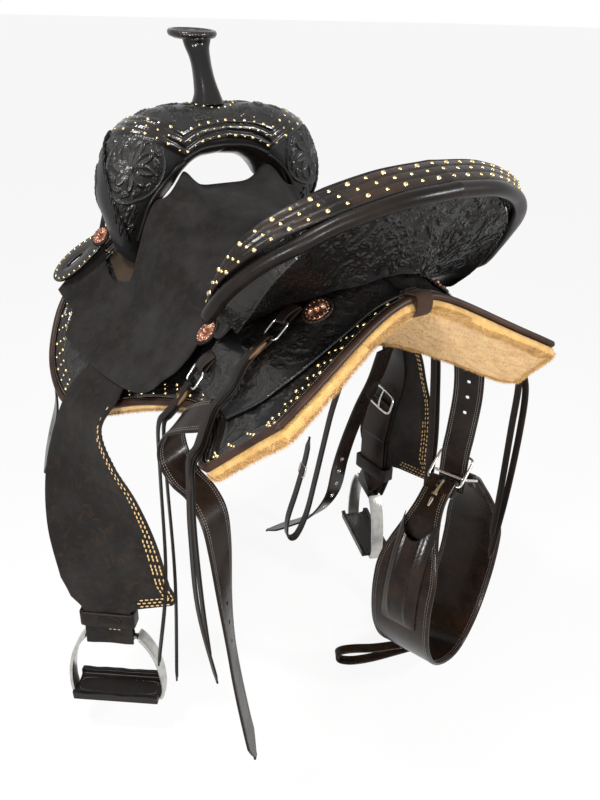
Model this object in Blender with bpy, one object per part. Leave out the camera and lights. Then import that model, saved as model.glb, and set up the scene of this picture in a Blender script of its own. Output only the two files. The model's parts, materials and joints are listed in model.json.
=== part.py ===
"""Barrel racing saddle, built as a saddler builds it: tree, ground seat, seat, skirts, jockeys,
fenders with stirrups, billets and flank cinch.

Frame: +X is the horse's right (off) side, +Y points forward to the horn, +Z is up. The origin is on
the centre line in the channel under the seat, level with the top of the wool at the ridge.
Everything that lies on the horse's sides is cut as a flat pattern in plan (x, y) and laid on the
shape of the back at its own height, so that the layers follow each other.
"""

import math

import bmesh
import bpy
from mathutils import Matrix, Vector

# Shape of the horse's back
BACK_SLOPE = 1.02
FLARE = 0.40
FLAT_CENTRE = 0.030
FLAT_HALF = 0.094
FLARE_RUN = 0.246
RIDGE_RADIUS = 0.064
ROCK = 0.33
ROCK_FLAT = 0.064
CELL_X = 0.034
CELL_Y = 0.042

# Leathers, wool and clearances
SEAM = 0.0004
SKIRT_THICK = 0.0048
WOOL_THICK = 0.015
BAR_THICK = 0.014
FENDER_THICK = 0.0040
SEAT_THICK = 0.0042
JOCKEY_THICK = 0.0038
STRAP_THICK = 0.0034
STRING_WIDTH = 0.011
STRING_THICK = 0.0026
PLY = 0.0058

# Cantle
DISH_START = -0.055
DISH_POWER = 1.75
CANTLE_STATIONS = 20
BAND_THICK = 0.004
BINDING_RADIUS = 0.0085
MIN_GAP = 0.0005
ROLL_GAP = 0.0014
BAND_INSET = 0.003
WING_GAP = 0.0014
RIM_CLEAR = 0.0075
BAND_CROWN = 0.002
ROLL_LIP = 0.008
BACK_THICK = 0.0035
BACK_THINNED = 0.65
FOOT_GAP = 0.0030
BACK_HOLLOW = 1.6
WING_SEAT_LIMIT = 0.194
WING_SEAT_BACK = -0.2275
CANTLE_CENTRE = -0.15

# Heights of the seat over the bars
SEAT_LIFT = SKIRT_THICK + BAR_THICK + 3 * SEAM
SEAT_RISE_MID = 0.012
SEAT_CROWN_HALF = 0.145
SEAT_FRONT_HEIGHT = 0.064
FRONT_EDGE = 0.112
FRONT_FALL = 0.050
FRONT_RUN = 0.158
FRONT_POWER = 1.6
EAR_RISE = 0.030
EAR_PLACE = 0.073
EAR_WIDTH = 0.021

# Fork and horn
SWELL_COVER = 0.0032
CAP_RADIUS = 0.036
CAP_THICK = 0.011

# Fenders and stirrups
FENDER_LIFT = SKIRT_THICK + 0.0098
TREAD_DEPTH = 0.052

BLACK = (0.012, 0.011, 0.010)
SUEDE = (0.028, 0.025, 0.023)
BROWN = (0.030, 0.020, 0.015)
WOOL = (0.62, 0.38, 0.12)
WOOD = (0.30, 0.19, 0.10)
STEEL = (0.62, 0.61, 0.58)
COPPER = (0.36, 0.16, 0.09)


def clear_scene():
    for item in list(bpy.data.objects):
        bpy.data.objects.remove(item, do_unlink=True)


def finish(name, colour, roughness, metallic=0.0):
    """A material with the part's own colour, roughness and metallic value."""
    material = bpy.data.materials.new(name)
    material.use_nodes = True
    shader = material.node_tree.nodes["Principled BSDF"]
    shader.inputs["Base Color"].default_value = (*colour, 1.0)
    shader.inputs["Roughness"].default_value = roughness
    shader.inputs["Metallic"].default_value = metallic
    return material


def add_object(name, bm, colour, roughness=0.5, metallic=0.0):
    """Closes off a mesh as one named piece with its faces turned outwards."""
    bmesh.ops.remove_doubles(bm, verts=bm.verts[:], dist=1e-6)
    bmesh.ops.recalc_face_normals(bm, faces=bm.faces[:])
    if bm.calc_volume(signed=True) < 0:
        bmesh.ops.reverse_faces(bm, faces=bm.faces[:])
    mesh = bpy.data.meshes.new(name)
    bm.to_mesh(mesh)
    bm.free()
    item = bpy.data.objects.new(name, mesh)
    bpy.context.scene.collection.objects.link(item)
    mesh.materials.append(finish(name, colour, roughness, metallic))
    mesh.shade_smooth()
    mesh.set_sharp_from_angle(angle=math.radians(35))


def hang_on(point, *names):
    """Puts the origin of pieces that move together on their joint's axis."""
    for name in names:
        item = bpy.data.objects[name]
        item.data.transform(Matrix.Translation(-Vector(point)))
        item.location = point


def clamp(value, low=0.0, high=1.0):
    return max(low, min(high, value))


def ease(value):
    value = clamp(value)
    return value * value * (3.0 - 2.0 * value)


def mirrored(points):
    return [Vector((-p[0], *p[1:])) for p in points]


def on_side(side, points):
    """Plan points drawn for the off side, on the off side (+1) or the near side (-1)."""
    return [(side * x, y) for x, y in points]


def spline(points, steps):
    """Smooth curve through the given points, with a number of steps to each span."""
    points = [Vector(p) for p in points]
    ends = [2 * points[0] - points[1]] + points + [2 * points[-1] - points[-2]]
    curve = []
    for i in range(1, len(ends) - 2):
        a, b, c, d = ends[i - 1:i + 3]
        for k in range(steps):
            t = k / steps
            curve.append(0.5 * (2 * b + (c - a) * t + (2 * a - 5 * b + 4 * c - d) * t * t
                                + (3 * b - a - 3 * c + d) * t ** 3))
    curve.append(points[-1])
    return curve


def resample(curve, count):
    """The same curve at equal distances."""
    lengths = [0.0]
    for a, b in zip(curve, curve[1:]):
        lengths.append(lengths[-1] + (b - a).length)
    result = []
    k = 0
    for i in range(count):
        want = lengths[-1] * i / (count - 1)
        while k < len(curve) - 2 and lengths[k + 1] < want:
            k += 1
        share = (want - lengths[k]) / (lengths[k + 1] - lengths[k])
        result.append(curve[k].lerp(curve[k + 1], clamp(share)))
    return result


# The surfaces that leather is laid on

def slope_at(y):
    run = max(0.0, abs(y - FLAT_CENTRE) - FLAT_HALF) / FLARE_RUN
    return BACK_SLOPE - FLARE * run * run


def back_height(x, y):
    rock = max(0.0, abs(y) - ROCK_FLAT)
    return ROCK * rock * rock - slope_at(y) * (math.hypot(x, RIDGE_RADIUS) - RIDGE_RADIUS)


def surface_normal(height, x, y):
    step = 0.001
    dx = (height(x + step, y) - height(x - step, y)) / (2 * step)
    dy = (height(x, y + step) - height(x, y - step)) / (2 * step)
    return Vector((-dx, -dy, 1.0)).normalized()


def faceted(point):
    """Reads a surface at the corners of one grid of triangles, flat between them.

    Every layer uses the same triangles, so two layers keep their distance all over.
    """
    known = {}

    def corner(i, j):
        if (i, j) not in known:
            known[i, j] = point(i * CELL_X, j * CELL_Y)
        return known[i, j]

    def read(x, y):
        i, j = math.floor(x / CELL_X), math.floor(y / CELL_Y)
        u, v = x / CELL_X - i, y / CELL_Y - j
        if u + v <= 1.0:
            base = corner(i, j)
            return base + u * (corner(i + 1, j) - base) + v * (corner(i, j + 1) - base)
        base = corner(i + 1, j + 1)
        return base + (1 - u) * (corner(i, j + 1) - base) + (1 - v) * (corner(i + 1, j) - base)
    return read


def on_back(lift):
    """The back's surface raised square to itself; the lift is a length or a function of (x, y)."""
    def point(x, y):
        height = lift(x, y) if callable(lift) else lift
        base = Vector((x, y, back_height(x, y)))
        return base + surface_normal(back_height, x, y) * height
    return faceted(point)


def lay_plate(name, outline, lower, upper, colour, roughness=0.5):
    """A flat pattern, cut along the grid and laid between two surfaces."""
    bm = bmesh.new()
    bm.faces.new([bm.verts.new((x, y, 0.0)) for x, y in outline])
    for normal, pitch in (((1, 0, 0), CELL_X), ((0, 1, 0), CELL_Y)):
        axis = 0 if normal[0] else 1
        values = [point[axis] for point in outline]
        for k in range(math.floor(min(values) / pitch), math.ceil(max(values) / pitch) + 1):
            bmesh.ops.bisect_plane(bm, geom=bm.verts[:] + bm.edges[:] + bm.faces[:], dist=1e-6,
                                   plane_co=Vector(normal) * (k * pitch), plane_no=normal)
    diagonal = Vector((1 / CELL_X, 1 / CELL_Y, 0))
    sums = [x / CELL_X + y / CELL_Y for x, y in outline]
    for k in range(math.floor(min(sums)), math.ceil(max(sums)) + 1):
        bmesh.ops.bisect_plane(bm, geom=bm.verts[:] + bm.edges[:] + bm.faces[:], dist=1e-6,
                               plane_co=Vector((k * CELL_X, 0, 0)), plane_no=diagonal.normalized())
    bmesh.ops.remove_doubles(bm, verts=bm.verts[:], dist=0.0004)
    bmesh.ops.dissolve_degenerate(bm, dist=0.0003, edges=bm.edges[:])
    grown = bmesh.ops.extrude_face_region(bm, geom=bm.faces[:])
    tops = {v for v in grown["geom"] if isinstance(v, bmesh.types.BMVert)}
    for v in bm.verts:
        v.co = (upper if v in tops else lower)(v.co.x, v.co.y)
    add_object(name, bm, colour, roughness)


def loft(name, rings, colour, roughness=0.5, metallic=0.0, closed=False):
    """Skins rings of points; closed joins the last ring to the first, otherwise both ends are capped."""
    bm = bmesh.new()
    rows = [[bm.verts.new(p) for p in ring] for ring in rings]
    pairs = list(zip(rows, rows[1:])) + ([(rows[-1], rows[0])] if closed else [])
    for a, b in pairs:
        for i in range(len(a)):
            j = (i + 1) % len(a)
            bm.faces.new((a[i], a[j], b[j], b[i]))
    if not closed:
        bm.faces.new(rows[0][::-1])
        bm.faces.new(rows[-1])
    add_object(name, bm, colour, roughness, metallic)


def directions(path, closed=False):
    """Unit tangent at each point of a path."""
    count = len(path)
    result = []
    for i in range(count):
        before = path[i - 1] if (i or closed) else path[0]
        after = path[(i + 1) % count] if (i < count - 1 or closed) else path[-1]
        result.append((after - before).normalized())
    return result


def strap_rings(path, across, width, thick, closed=False, taper=()):
    """Rectangular sections along a path; across gives the direction of the strap's width."""
    rings = []
    tangents = directions(path, closed)
    last = len(path) - 1
    for i, (p, tangent) in enumerate(zip(path, tangents)):
        wide = Vector(across(i / last) if callable(across) else across)
        wide = (wide - tangent * wide.dot(tangent)).normalized()
        up = tangent.cross(wide)
        share = dict(taper).get(last - i, 1.0)
        w = wide * width * 0.5 * share
        t = up * thick * 0.5
        rings.append([p - w - t, p + w - t, p + w + t, p - w + t])
    return rings


def strap(name, path, across, width, thick, colour=BLACK, roughness=0.35, closed=False, taper=()):
    rings = strap_rings(path, across, width, thick, closed, taper)
    loft(name, rings, colour, roughness, closed=closed)


def tube_rings(path, radius, sides=8, closed=False, across=None):
    """Round sections along a path; across fixes the way the first corner points."""
    rings = []
    wide = None
    for i, (p, tangent) in enumerate(zip(path, directions(path, closed))):
        seed = Vector(across) if across else (wide or tangent.orthogonal())
        wide = (seed - tangent * seed.dot(tangent)).normalized()
        up = tangent.cross(wide)
        size = radius[i] if isinstance(radius, (list, tuple)) else radius
        rings.append([p + (wide * math.cos(a) + up * math.sin(a)) * size
                      for a in (2 * math.pi * k / sides for k in range(sides))])
    return rings


def tube(name, path, radius, colour, roughness, metallic=0.0, sides=8, closed=False, across=None):
    rings = tube_rings(path, radius, sides, closed, across)
    loft(name, rings, colour, roughness, metallic, closed)


def turned(name, profile, centre, axis, colour, roughness, metallic=0.0, sides=20):
    """A profile of (radius, height) turned about an axis; it starts and ends on the axis."""
    bm = bmesh.new()
    turn = Vector((0, 0, 1)).rotation_difference(Vector(axis)).to_matrix().to_4x4()
    place = Matrix.Translation(centre) @ turn
    rings = []
    for radius, height in profile:
        if radius < 1e-9:
            rings.append([bm.verts.new(place @ Vector((0, 0, height)))])
        else:
            angles = [2 * math.pi * k / sides for k in range(sides)]
            rings.append([bm.verts.new(place @ Vector((radius * math.cos(a), radius * math.sin(a),
                                                       height))) for a in angles])
    for a, b in zip(rings, rings[1:]):
        for i in range(sides):
            j = (i + 1) % sides
            face = [a[i % len(a)], a[j % len(a)], b[j % len(b)], b[i % len(b)]]
            bm.faces.new(list(dict.fromkeys(face)))
    add_object(name, bm, colour, roughness, metallic)


# Cantle curves: the crest where the seat ends, and the outer edge of the Cheyenne roll
CREST = [(0, -0.269, 0.163), (0.075, -0.265, 0.1565), (0.153, -0.2475, 0.133),
         (0.193, -0.2275, 0.104), (0.207, -0.202, 0.068), (0.204, -0.175, 0.028),
         (0.190, -0.156, 0.006)]
ROLL_EDGE = [(0, -0.3175, 0.1445), (0.068, -0.310, 0.1375), (0.129, -0.287, 0.1155),
             (0.1755, -0.252, 0.084), (0.202, -0.212, 0.047), (0.209, -0.175, 0.0125),
             (0.196, -0.150, -0.008)]


def both_sides(half):
    """A curve drawn from the centre to the off side, as one curve from the near to the off side."""
    half_curve = spline(half, 12)
    side = resample(half_curve, CANTLE_STATIONS // 2 + 1)
    side[0].x = 0.0
    return mirrored(side[:0:-1]) + side


def crest_at(x):
    """Plan depth and height of the crest at a distance from the centre line."""
    side = crest[len(crest) // 2:]
    x = min(abs(x), max(p.x for p in side) - 1e-4)
    for a, b in zip(side, side[1:]):
        if a.x <= x <= b.x:
            share = (x - a.x) / (b.x - a.x)
            return a.y + (b.y - a.y) * share, a.z + (b.z - a.z) * share
    return side[-1].y, side[-1].z


def seat_height(x, y):
    """Top of the seat leather: over the bars at the sides, crowned in the middle, up to the crest."""
    slope = slope_at(y) * abs(x) / math.hypot(x, RIDGE_RADIUS)
    base = back_height(x, y) + (SEAT_LIFT + SEAT_THICK) * math.hypot(1.0, slope)
    base += SEAT_RISE_MID * clamp(1.0 - (x / SEAT_CROWN_HALF) ** 2) ** 2
    front = SEAT_FRONT_HEIGHT + EAR_RISE * math.exp(-((abs(x) - EAR_PLACE) / EAR_WIDTH) ** 2)
    front += (base - front) * ease((abs(x) - FRONT_EDGE) / FRONT_FALL)
    base += (front - base) * clamp(y / FRONT_RUN) ** FRONT_POWER
    crest_y, crest_z = crest_at(x)
    share = clamp((DISH_START - y) / (DISH_START - crest_y), 0.0, 1.3) ** DISH_POWER
    return base + (crest_z - base) * share


def on_seat(drop):
    """The seat's surface, or the one a given thickness under it, in the same place in plan."""
    def point(x, y):
        fall = drop / surface_normal(seat_height, x, y).z
        return Vector((x, y, seat_height(x, y) - fall))
    return faceted(point)


# Underside of the roll, where the cantle's back panel begins, and the plan of that panel's foot
ROLL_UNDER = [(0, -0.287, 0.141), (0.070, -0.282, 0.131), (0.130, -0.268, 0.098),
              (0.163, -0.238, 0.052), (0.170, -0.200, 0.004), (0.166, -0.164, -0.030)]
CANTLE_BASE = [(0, -0.233), (0.034, -0.227), (0.056, -0.205), (0.074, -0.172), (0.099, -0.134),
               (0.120, -0.106)]
CANTLE_BOARD = [(0, -0.220), (0.028, -0.214), (0.044, -0.194), (0.060, -0.162), (0.084, -0.120),
                (0.080, -0.104), (0, -0.100)]

# The fork: centre line of the arch with half its height and half its depth, centre to off leg
ARCH = [(0, 0.200, 0.138, 0.034, 0.050), (0.045, 0.198, 0.136, 0.038, 0.052),
        (0.085, 0.194, 0.124, 0.047, 0.052), (0.118, 0.193, 0.098, 0.054, 0.048),
        (0.138, 0.197, 0.058, 0.046, 0.042), (0.141, 0.203, 0.020, 0.033, 0.036),
        (0.139, 0.210, -0.018, 0.021, 0.028), (0.128, 0.212, -0.0386, 0.016, 0.025)]
ARCH_SIDES = 12
ARCH_SQUARE = 2.3
NECK_PATH = [(0, 0.205, 0.1747), (0, 0.207, 0.184), (0, 0.213, 0.200), (0, 0.224, 0.228),
             (0, 0.232, 0.246), (0, 0.234, 0.256)]
NECK_RADII = [0.024, 0.0180, 0.0155, 0.0145, 0.0155, 0.021]
CAP_TILT = 4
CAP_SHIFT = 0.014

# Fenders: plan stations on the skirt (x, y, half width ahead and behind), then free stations
# (x, y, z, turn of the front edge outwards in degrees, half width ahead and behind)
FENDER_PIVOT = {"near": (0.215, 0.030), "off": (0.215, 0.070)}
FENDER_ON_SKIRT = [(0.160, 0.086, 0.040, 0.040), (0.205, 0.084, 0.050, 0.050),
                   (0.236, 0.079, 0.058, 0.060), (0.266, 0.073, 0.064, 0.067)]
FENDER_FREE = {
    "near": [(0.291, 0.058, -0.250, 14, 0.070, 0.078), (0.294, 0.036, -0.300, 30, 0.077, 0.083),
             (0.298, 0.014, -0.368, 44, 0.074, 0.090), (0.300, 0.001, -0.440, 50, 0.063, 0.098)],
    "off": [(0.292, 0.060, -0.250, 12, 0.068, 0.088), (0.290, 0.062, -0.295, 7, 0.066, 0.104),
            (0.280, 0.070, -0.345, 2, 0.062, 0.120), (0.275, 0.080, -0.405, -1, 0.056, 0.130)]}
# Below the last station: the drop of each row, its front half width and its share of the rear half
FENDER_CORNER = [(0.020, 0.056, 1.10), (0.034, 0.052, 1.03), (0.047, 0.040, 0.48)]
TONGUE_ROWS = [(0.055, 0.0), (0.087, 0.0), (0.118, 1.0)]
TONGUE_HALF = 0.036
STIRRUP_TURN = {"near": 52, "off": 20}
LEATHER_WIDTH = 0.062
LEATHER_GAP = 0.0042
LEATHER_RISE = 0.190
LOOP_RADIUS = 0.0084
STIRRUP_BOW = [(0.037, 0.0), (0.041, 0.003), (0.052, -0.012), (0.063, -0.036), (0.070, -0.066),
               (0.072, -0.096), (0.070, -0.118)]
BOW_DEEP = 0.024
BOW_THICK = 0.0055
BOLT_SHARE = 0.40
TREAD_CLEAR = 0.0006
HOBBLE_RISE = 0.047
HOBBLE_ROOM = 0.0007
HOBBLE_CORNER = 0.003
HOBBLE_WIDTH = 0.026

# Conchos, latigo keepers and string dees, placed in plan
CONCHO_RADIUS = 0.0155
CONCHO_SEAT = 0.0006
REAR_CONCHO = (0.075, -0.212)
SEAT_CONCHO = (0.1505, -0.062)
KEEPER_TOP = (0.1464, 0.2548, -0.0108)
KEEPER_LOW = (0.2264, 0.3028, -0.0868)
KEEPER_ACROSS = (0.0, 1.0, 0.2)
KEEPER_HALF = 0.024
KEEPER_THICK = 0.004
KEEPER_SLOT_PLACE = 0.62
KEEPER_SLOT_HALF = (0.017, 0.0035)
DEE_WIRE = 0.0017
DEE_LENGTH = 0.026
DEE_WIDTH = 0.030
STRING_LAY = 0.0026
STRING_DROP = 0.0024

# Straps that hang free, near side negative: routes in space, chosen by eye
REAR_DEE = (0.107, -0.186, -0.1)
FRONT_DEE = (0.170, -0.084, 0.3)
REAR_STRING_LAID = [(0.142, -0.180), (0.166, -0.172), (0.190, -0.172), (0.212, -0.192),
                    (0.230, -0.212), (0.245, -0.222)]
REAR_STRING_TAILS = {
    "near": ([(-0.2590, -0.224, -0.172), (-0.2575, -0.220, -0.230), (-0.250, -0.215, -0.339),
              (-0.242, -0.215, -0.440)],
             [(-0.2665, -0.230, -0.172), (-0.2660, -0.228, -0.232), (-0.259, -0.223, -0.345),
              (-0.246, -0.240, -0.455)]),
    "off": ([(0.2590, -0.226, -0.172), (0.2580, -0.227, -0.250), (0.255, -0.229, -0.360),
             (0.251, -0.229, -0.442)],
            [(0.2665, -0.232, -0.174), (0.2670, -0.236, -0.250), (0.263, -0.234, -0.370),
             (0.257, -0.227, -0.486)])}
FRONT_STRING_LAID = [(0.204, -0.084), (0.213, -0.083)]
FRONT_STRING_TAILS = {
    "near": ([(-0.2270, -0.083, -0.168), (-0.2300, -0.088, -0.240), (-0.232, -0.098, -0.400),
              (-0.237, -0.091, -0.591)],
             [(-0.2345, -0.083, -0.168), (-0.2385, -0.088, -0.240), (-0.244, -0.094, -0.400),
              (-0.258, -0.078, -0.560)]),
    "off": ([(0.2270, -0.083, -0.168), (0.2290, -0.090, -0.240), (0.228, -0.098, -0.330),
             (0.228, -0.100, -0.470)],
            [(0.2345, -0.083, -0.168), (0.2380, -0.090, -0.240), (0.238, -0.098, -0.330),
             (0.239, -0.094, -0.440)])}
NEAR_REAR_BILLET = [(-0.209, -0.165, -0.1210), (-0.217, -0.138, -0.134), (-0.223, -0.112, -0.152),
                    (-0.224, -0.098, -0.178), (-0.224, -0.102, -0.204), (-0.221, -0.126, -0.222),
                    (-0.217, -0.158, -0.228), (-0.214, -0.184, -0.248), (-0.212, -0.194, -0.290),
                    (-0.210, -0.202, -0.380), (-0.206, -0.212, -0.470), (-0.200, -0.230, -0.560),
                    (-0.195, -0.246, -0.620)]
OFF_BILLET = [(0.205, 0.003, -0.1912), (0.203, 0.020, -0.247), (0.201, 0.048, -0.310),
              (0.200, 0.080, -0.395), (0.200, 0.100, -0.460), (0.195, 0.112, -0.530),
              (0.172, 0.130, -0.578), (0.138, 0.158, -0.606), (0.100, 0.198, -0.634)]
OFF_TIE_STRAP = [(0.2358, 0.108, -0.2060), (0.214, 0.108, -0.248), (0.196, 0.108, -0.300),
                 (0.178, 0.106, -0.350), (0.162, 0.104, -0.410),
                 (0.146, 0.104, -0.480), (0.130, 0.106, -0.550), (0.110, 0.110, -0.595),
                 (0.092, 0.112, -0.590), (0.090, 0.110, -0.550), (0.106, 0.106, -0.490),
                 (0.120, 0.102, -0.430), (0.128, 0.100, -0.380)]
NEAR_LATIGO = [(-0.2714, 0.214, -0.2144), (-0.271, 0.228, -0.268), (-0.287, 0.231, -0.322),
               (-0.303, 0.231, -0.378)]
OFF_REAR_BILLET = [(0.2115, -0.157, -0.1385), (0.2230, -0.161, -0.161), (0.226, -0.164, -0.210),
                   (0.220, -0.165, -0.270), (0.215, -0.165, -0.310), (0.215, -0.165, -0.372)]
BILLET_WIDTH = 0.045

# Flank cinch: profile (n, z) in its own plane, which stands square to its width
CINCH_AT = Vector((0.215, -0.165, 0))
CINCH_ACROSS = Vector((0.30, -0.954, 0)).normalized()
CINCH_OUT = Vector((0.954, 0.30, 0)).normalized()
CINCH_PROFILE = [(-0.034, -0.340), (-0.060, -0.358), (-0.092, -0.400), (-0.118, -0.455),
                 (-0.128, -0.520), (-0.115, -0.595), (-0.072, -0.658), (0, -0.686), (0.060, -0.655),
                 (0.100, -0.585), (0.113, -0.510), (0.100, -0.440), (0.068, -0.384),
                 (0.040, -0.360)]
CINCH_HANG = (-0.0155, 0, -0.338)
CINCH_WIDE = 0.105
CINCH_NARROW = 0.045
CINCH_SLOT = 0.010
BUCKLE_WIRE = 0.0022
BUCKLE_WIDTH = 0.056
TONGUE_LENGTH = 0.046
BUCKLE_TOPS = {"near": (0.0100, 0, -0.312), "off": (-0.0100, 0, -0.340)}
TONGUE_WIDE = 0.0064
TONGUE_THICK = 0.0024
CINCH_STATIONS = 16
WRAP_ROWS = 6
SLOT_DROP = 0.026
POCKET_ROWS = (8, 9, 9.5, 10, 10.5, 11, 11.4)
POCKET_HALF = 0.030
POCKET_HIGH = 0.011
# Connector strap: its loop in the plane (outwards, z), hung under the cinch
CONNECTOR_WAY = Vector((-0.85, 0.525, 0)).normalized()
CONNECTOR_ACROSS = (0.45, 0.80, 0.35)
CONNECTOR = [(-0.020, -0.6918), (0.020, -0.6942), (0.060, -0.702), (0.100, -0.708),
             (0.135, -0.709), (0.158, -0.713), (0.166, -0.723), (0.158, -0.734), (0.135, -0.737),
             (0.100, -0.730), (0.060, -0.716), (0.020, -0.7025), (-0.020, -0.6987)]

# Flat patterns in plan, drawn for the off side

SKIRT = [(0.008, -0.2785), (0.050, -0.281), (0.090, -0.288), (0.136, -0.2985), (0.177, -0.3076),
         (0.204, -0.312), (0.220, -0.281), (0.2466, -0.2366), (0.240, -0.210), (0.2175, -0.182),
         (0.200, -0.145), (0.197, -0.105), (0.207, -0.060), (0.2275, 0.0), (0.262, 0.080),
         (0.279, 0.145), (0.2735, 0.214), (0.252, 0.262), (0.215, 0.297), (0.150, 0.312),
         (0.060, 0.312), (0.012, 0.275), (0.012, 0.225), (0.036, 0.180), (0.036, -0.170),
         (0.008, -0.215)]
BAR = [(0.040, -0.207), (0.120, -0.207), (0.130, -0.180), (0.132, -0.10), (0.118, 0.0),
       (0.128, 0.10), (0.150, 0.20), (0.140, 0.262), (0.098, 0.268), (0.060, 0.225),
       (0.042, 0.150), (0.042, -0.10)]
GROUND_SEAT = [(0, -0.096), (0.094, -0.092), (0.106, -0.05), (0.105, 0.05), (0.088, 0.125),
               (0.052, 0.142), (0, 0.146)]
SEAT_SIDE = [(0.183, -0.195), (0.172, -0.160), (0.158, -0.100), (0.1465, -0.052), (0.182, -0.058),
             (0.2055, -0.048), (0.2365, -0.003), (0.249, 0.214), (0.226, 0.236),
             (0.229, 0.288), (0.138, 0.302), (0.158, 0.262), (0.166, 0.215), (0.156, 0.172),
             (0.120, 0.150), (0.084, 0.147), (0.062, 0.157), (0.036, 0.164), (0.0, 0.166)]
REAR_JOCKEY = [(0.004, -0.268), (0.045, -0.262), (0.088, -0.262), (0.136, -0.252),
               (0.171, -0.232), (0.194, -0.194), (0.182, -0.120), (0.172, -0.068), (0.151, -0.068),
               (0.149, -0.085), (0.112, -0.085), (0.085, -0.115), (0.060, -0.156),
               (0.040, -0.192), (0.004, -0.204)]

crest = []
roll_edge = []


def draw_cantle_curves():
    crest[:] = both_sides(CREST)
    roll_edge[:] = both_sides(ROLL_EDGE)


def bar_cover(x, y):
    """Lift of what drapes over a bar: the bar's height inside its edge, the skirt's outside."""
    inside = ease((5 * CELL_X - abs(x)) / CELL_X) * ease((y + 6 * CELL_Y) / CELL_Y)
    return SKIRT_THICK + SEAM + (BAR_THICK + SEAM) * inside


def build_skirts():
    for side, label in ((-1, "near"), (1, "off")):
        outline = on_side(side, SKIRT)
        lay_plate(f"{label}_skirt", outline, on_back(0.0), on_back(SKIRT_THICK), BLACK, 0.3)
        lay_plate(f"{label}_fleece", outline, on_back(-WOOL_THICK), on_back(-SEAM), WOOL, 0.95)
        lay_plate(f"{label}_tree_bar", on_side(side, BAR), on_back(SKIRT_THICK + SEAM),
                  on_back(SKIRT_THICK + BAR_THICK), WOOD, 0.7)
        low = on_back(lambda x, y: bar_cover(x, y) + SEAM)
        top = on_back(lambda x, y: bar_cover(x, y) + SEAM + JOCKEY_THICK)
        lay_plate(f"{label}_rear_jockey", on_side(side, REAR_JOCKEY), low, top, BLACK, 0.3)


def wing_share(x):
    """How far round towards the wings a point of the cantle lies: 0 in the middle, 1 on the wings."""
    return ease((abs(x) - 0.12) / 0.05)


def build_seat():
    side = SEAT_SIDE
    outline = []
    for p in crest:
        if abs(p.x) < WING_SEAT_LIMIT or p.y < WING_SEAT_BACK:
            inward = Vector((-p.x, CANTLE_CENTRE - p.y)).normalized() * RIM_CLEAR * wing_share(p.x)
            outline.append((p.x + inward.x, p.y + inward.y))
    outline += side + [(-x, y) for x, y in side[-2::-1]]
    lay_plate("seat", outline, on_seat(SEAT_THICK), on_seat(0.0), SUEDE, 0.9)
    ground = GROUND_SEAT + [(-x, y) for x, y in GROUND_SEAT[-2:0:-1]]
    lay_plate("ground_seat", ground, on_back(SEAT_LIFT + SEAM), on_seat(SEAT_THICK + SEAM), BROWN, 0.8)
    board = CANTLE_BOARD + [(-x, y) for x, y in CANTLE_BOARD[-2:0:-1]]
    low = on_back(SEAT_LIFT + JOCKEY_THICK + SEAM)
    lay_plate("cantle_board", board, low, on_seat(SEAT_THICK + SEAM), WOOD, 0.7)


def roll_frames():
    """At each station: crest point, roll edge, direction between them, face, width, binding's reach."""
    frames = []
    faces = [along.cross(b - a).normalized()
             for a, b, along in zip(crest, roll_edge, directions(crest))]
    middle = len(faces) // 2
    if faces[middle].z < 0:
        faces[middle] = -faces[middle]
    for step, stop in ((1, len(faces) - middle), (-1, middle + 1)):
        for k in range(1, stop):
            i = middle + step * k
            if faces[i].dot(faces[i - step]) < 0:
                faces[i] = -faces[i]
    for a, b, face in zip(crest, roll_edge, faces):
        width = (b - a).length
        reach = min(BINDING_RADIUS + ROLL_GAP, 0.5 * width)
        frames.append((a, b, (b - a).normalized(), face, width, reach))
    return frames


def build_cantle():
    band, binding, roll, back = [], [], [], []
    under = both_sides(ROLL_UNDER)
    base = both_sides([(x, y, 0.0) for x, y in CANTLE_BASE])
    jockey_top = on_back(lambda x, y: bar_cover(x, y) + SEAM + JOCKEY_THICK + FOOT_GAP)
    runs = directions(under)
    for i, (a, b, out, face, width, reach) in enumerate(roll_frames()):
        inner = a + out * min(BAND_INSET, 0.25 * width)
        outer = b - out * reach
        gap = WING_GAP * wing_share(a.x)
        middle = inner.lerp(outer, 0.5) + face * BAND_CROWN
        drop = face * BAND_THICK
        band.append([inner, middle, outer, outer - drop, middle - drop, inner - drop])
        binding.append(b + out * (BINDING_RADIUS + ROLL_GAP + 3 * gap - reach)
                       - face * BINDING_RADIUS * 0.6)
        drop = face * (BAND_THICK + SEAM + gap)
        lip = face * (BAND_THICK + SEAM + ROLL_LIP)
        rim = outer - out * gap
        roll.append([inner + out * gap - drop, rim - drop, rim - out * 2 * gap - lip, under[i]])
        foot = jockey_top(base[i].x, base[i].y)
        thin = 1.0 - BACK_THINNED * wing_share(under[i].x)
        inward = (under[i] - foot).cross(runs[i]).normalized() * BACK_THICK * thin
        top = under[i] - (under[i] - foot).normalized() * MIN_GAP * (2.0 - thin) ** 2
        waist = top.lerp(foot, 0.55) + inward * BACK_HOLLOW
        heel = foot + inward
        back.append([top, waist, foot, heel, waist + inward, top + inward])
    loft("cantle_band", band, BLACK, 0.3)
    tube("cantle_binding", binding, BINDING_RADIUS, BLACK, 0.3)
    loft("cantle_roll", roll, BLACK, 0.35)
    loft("cantle_back", back, BLACK, 0.25)


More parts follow.
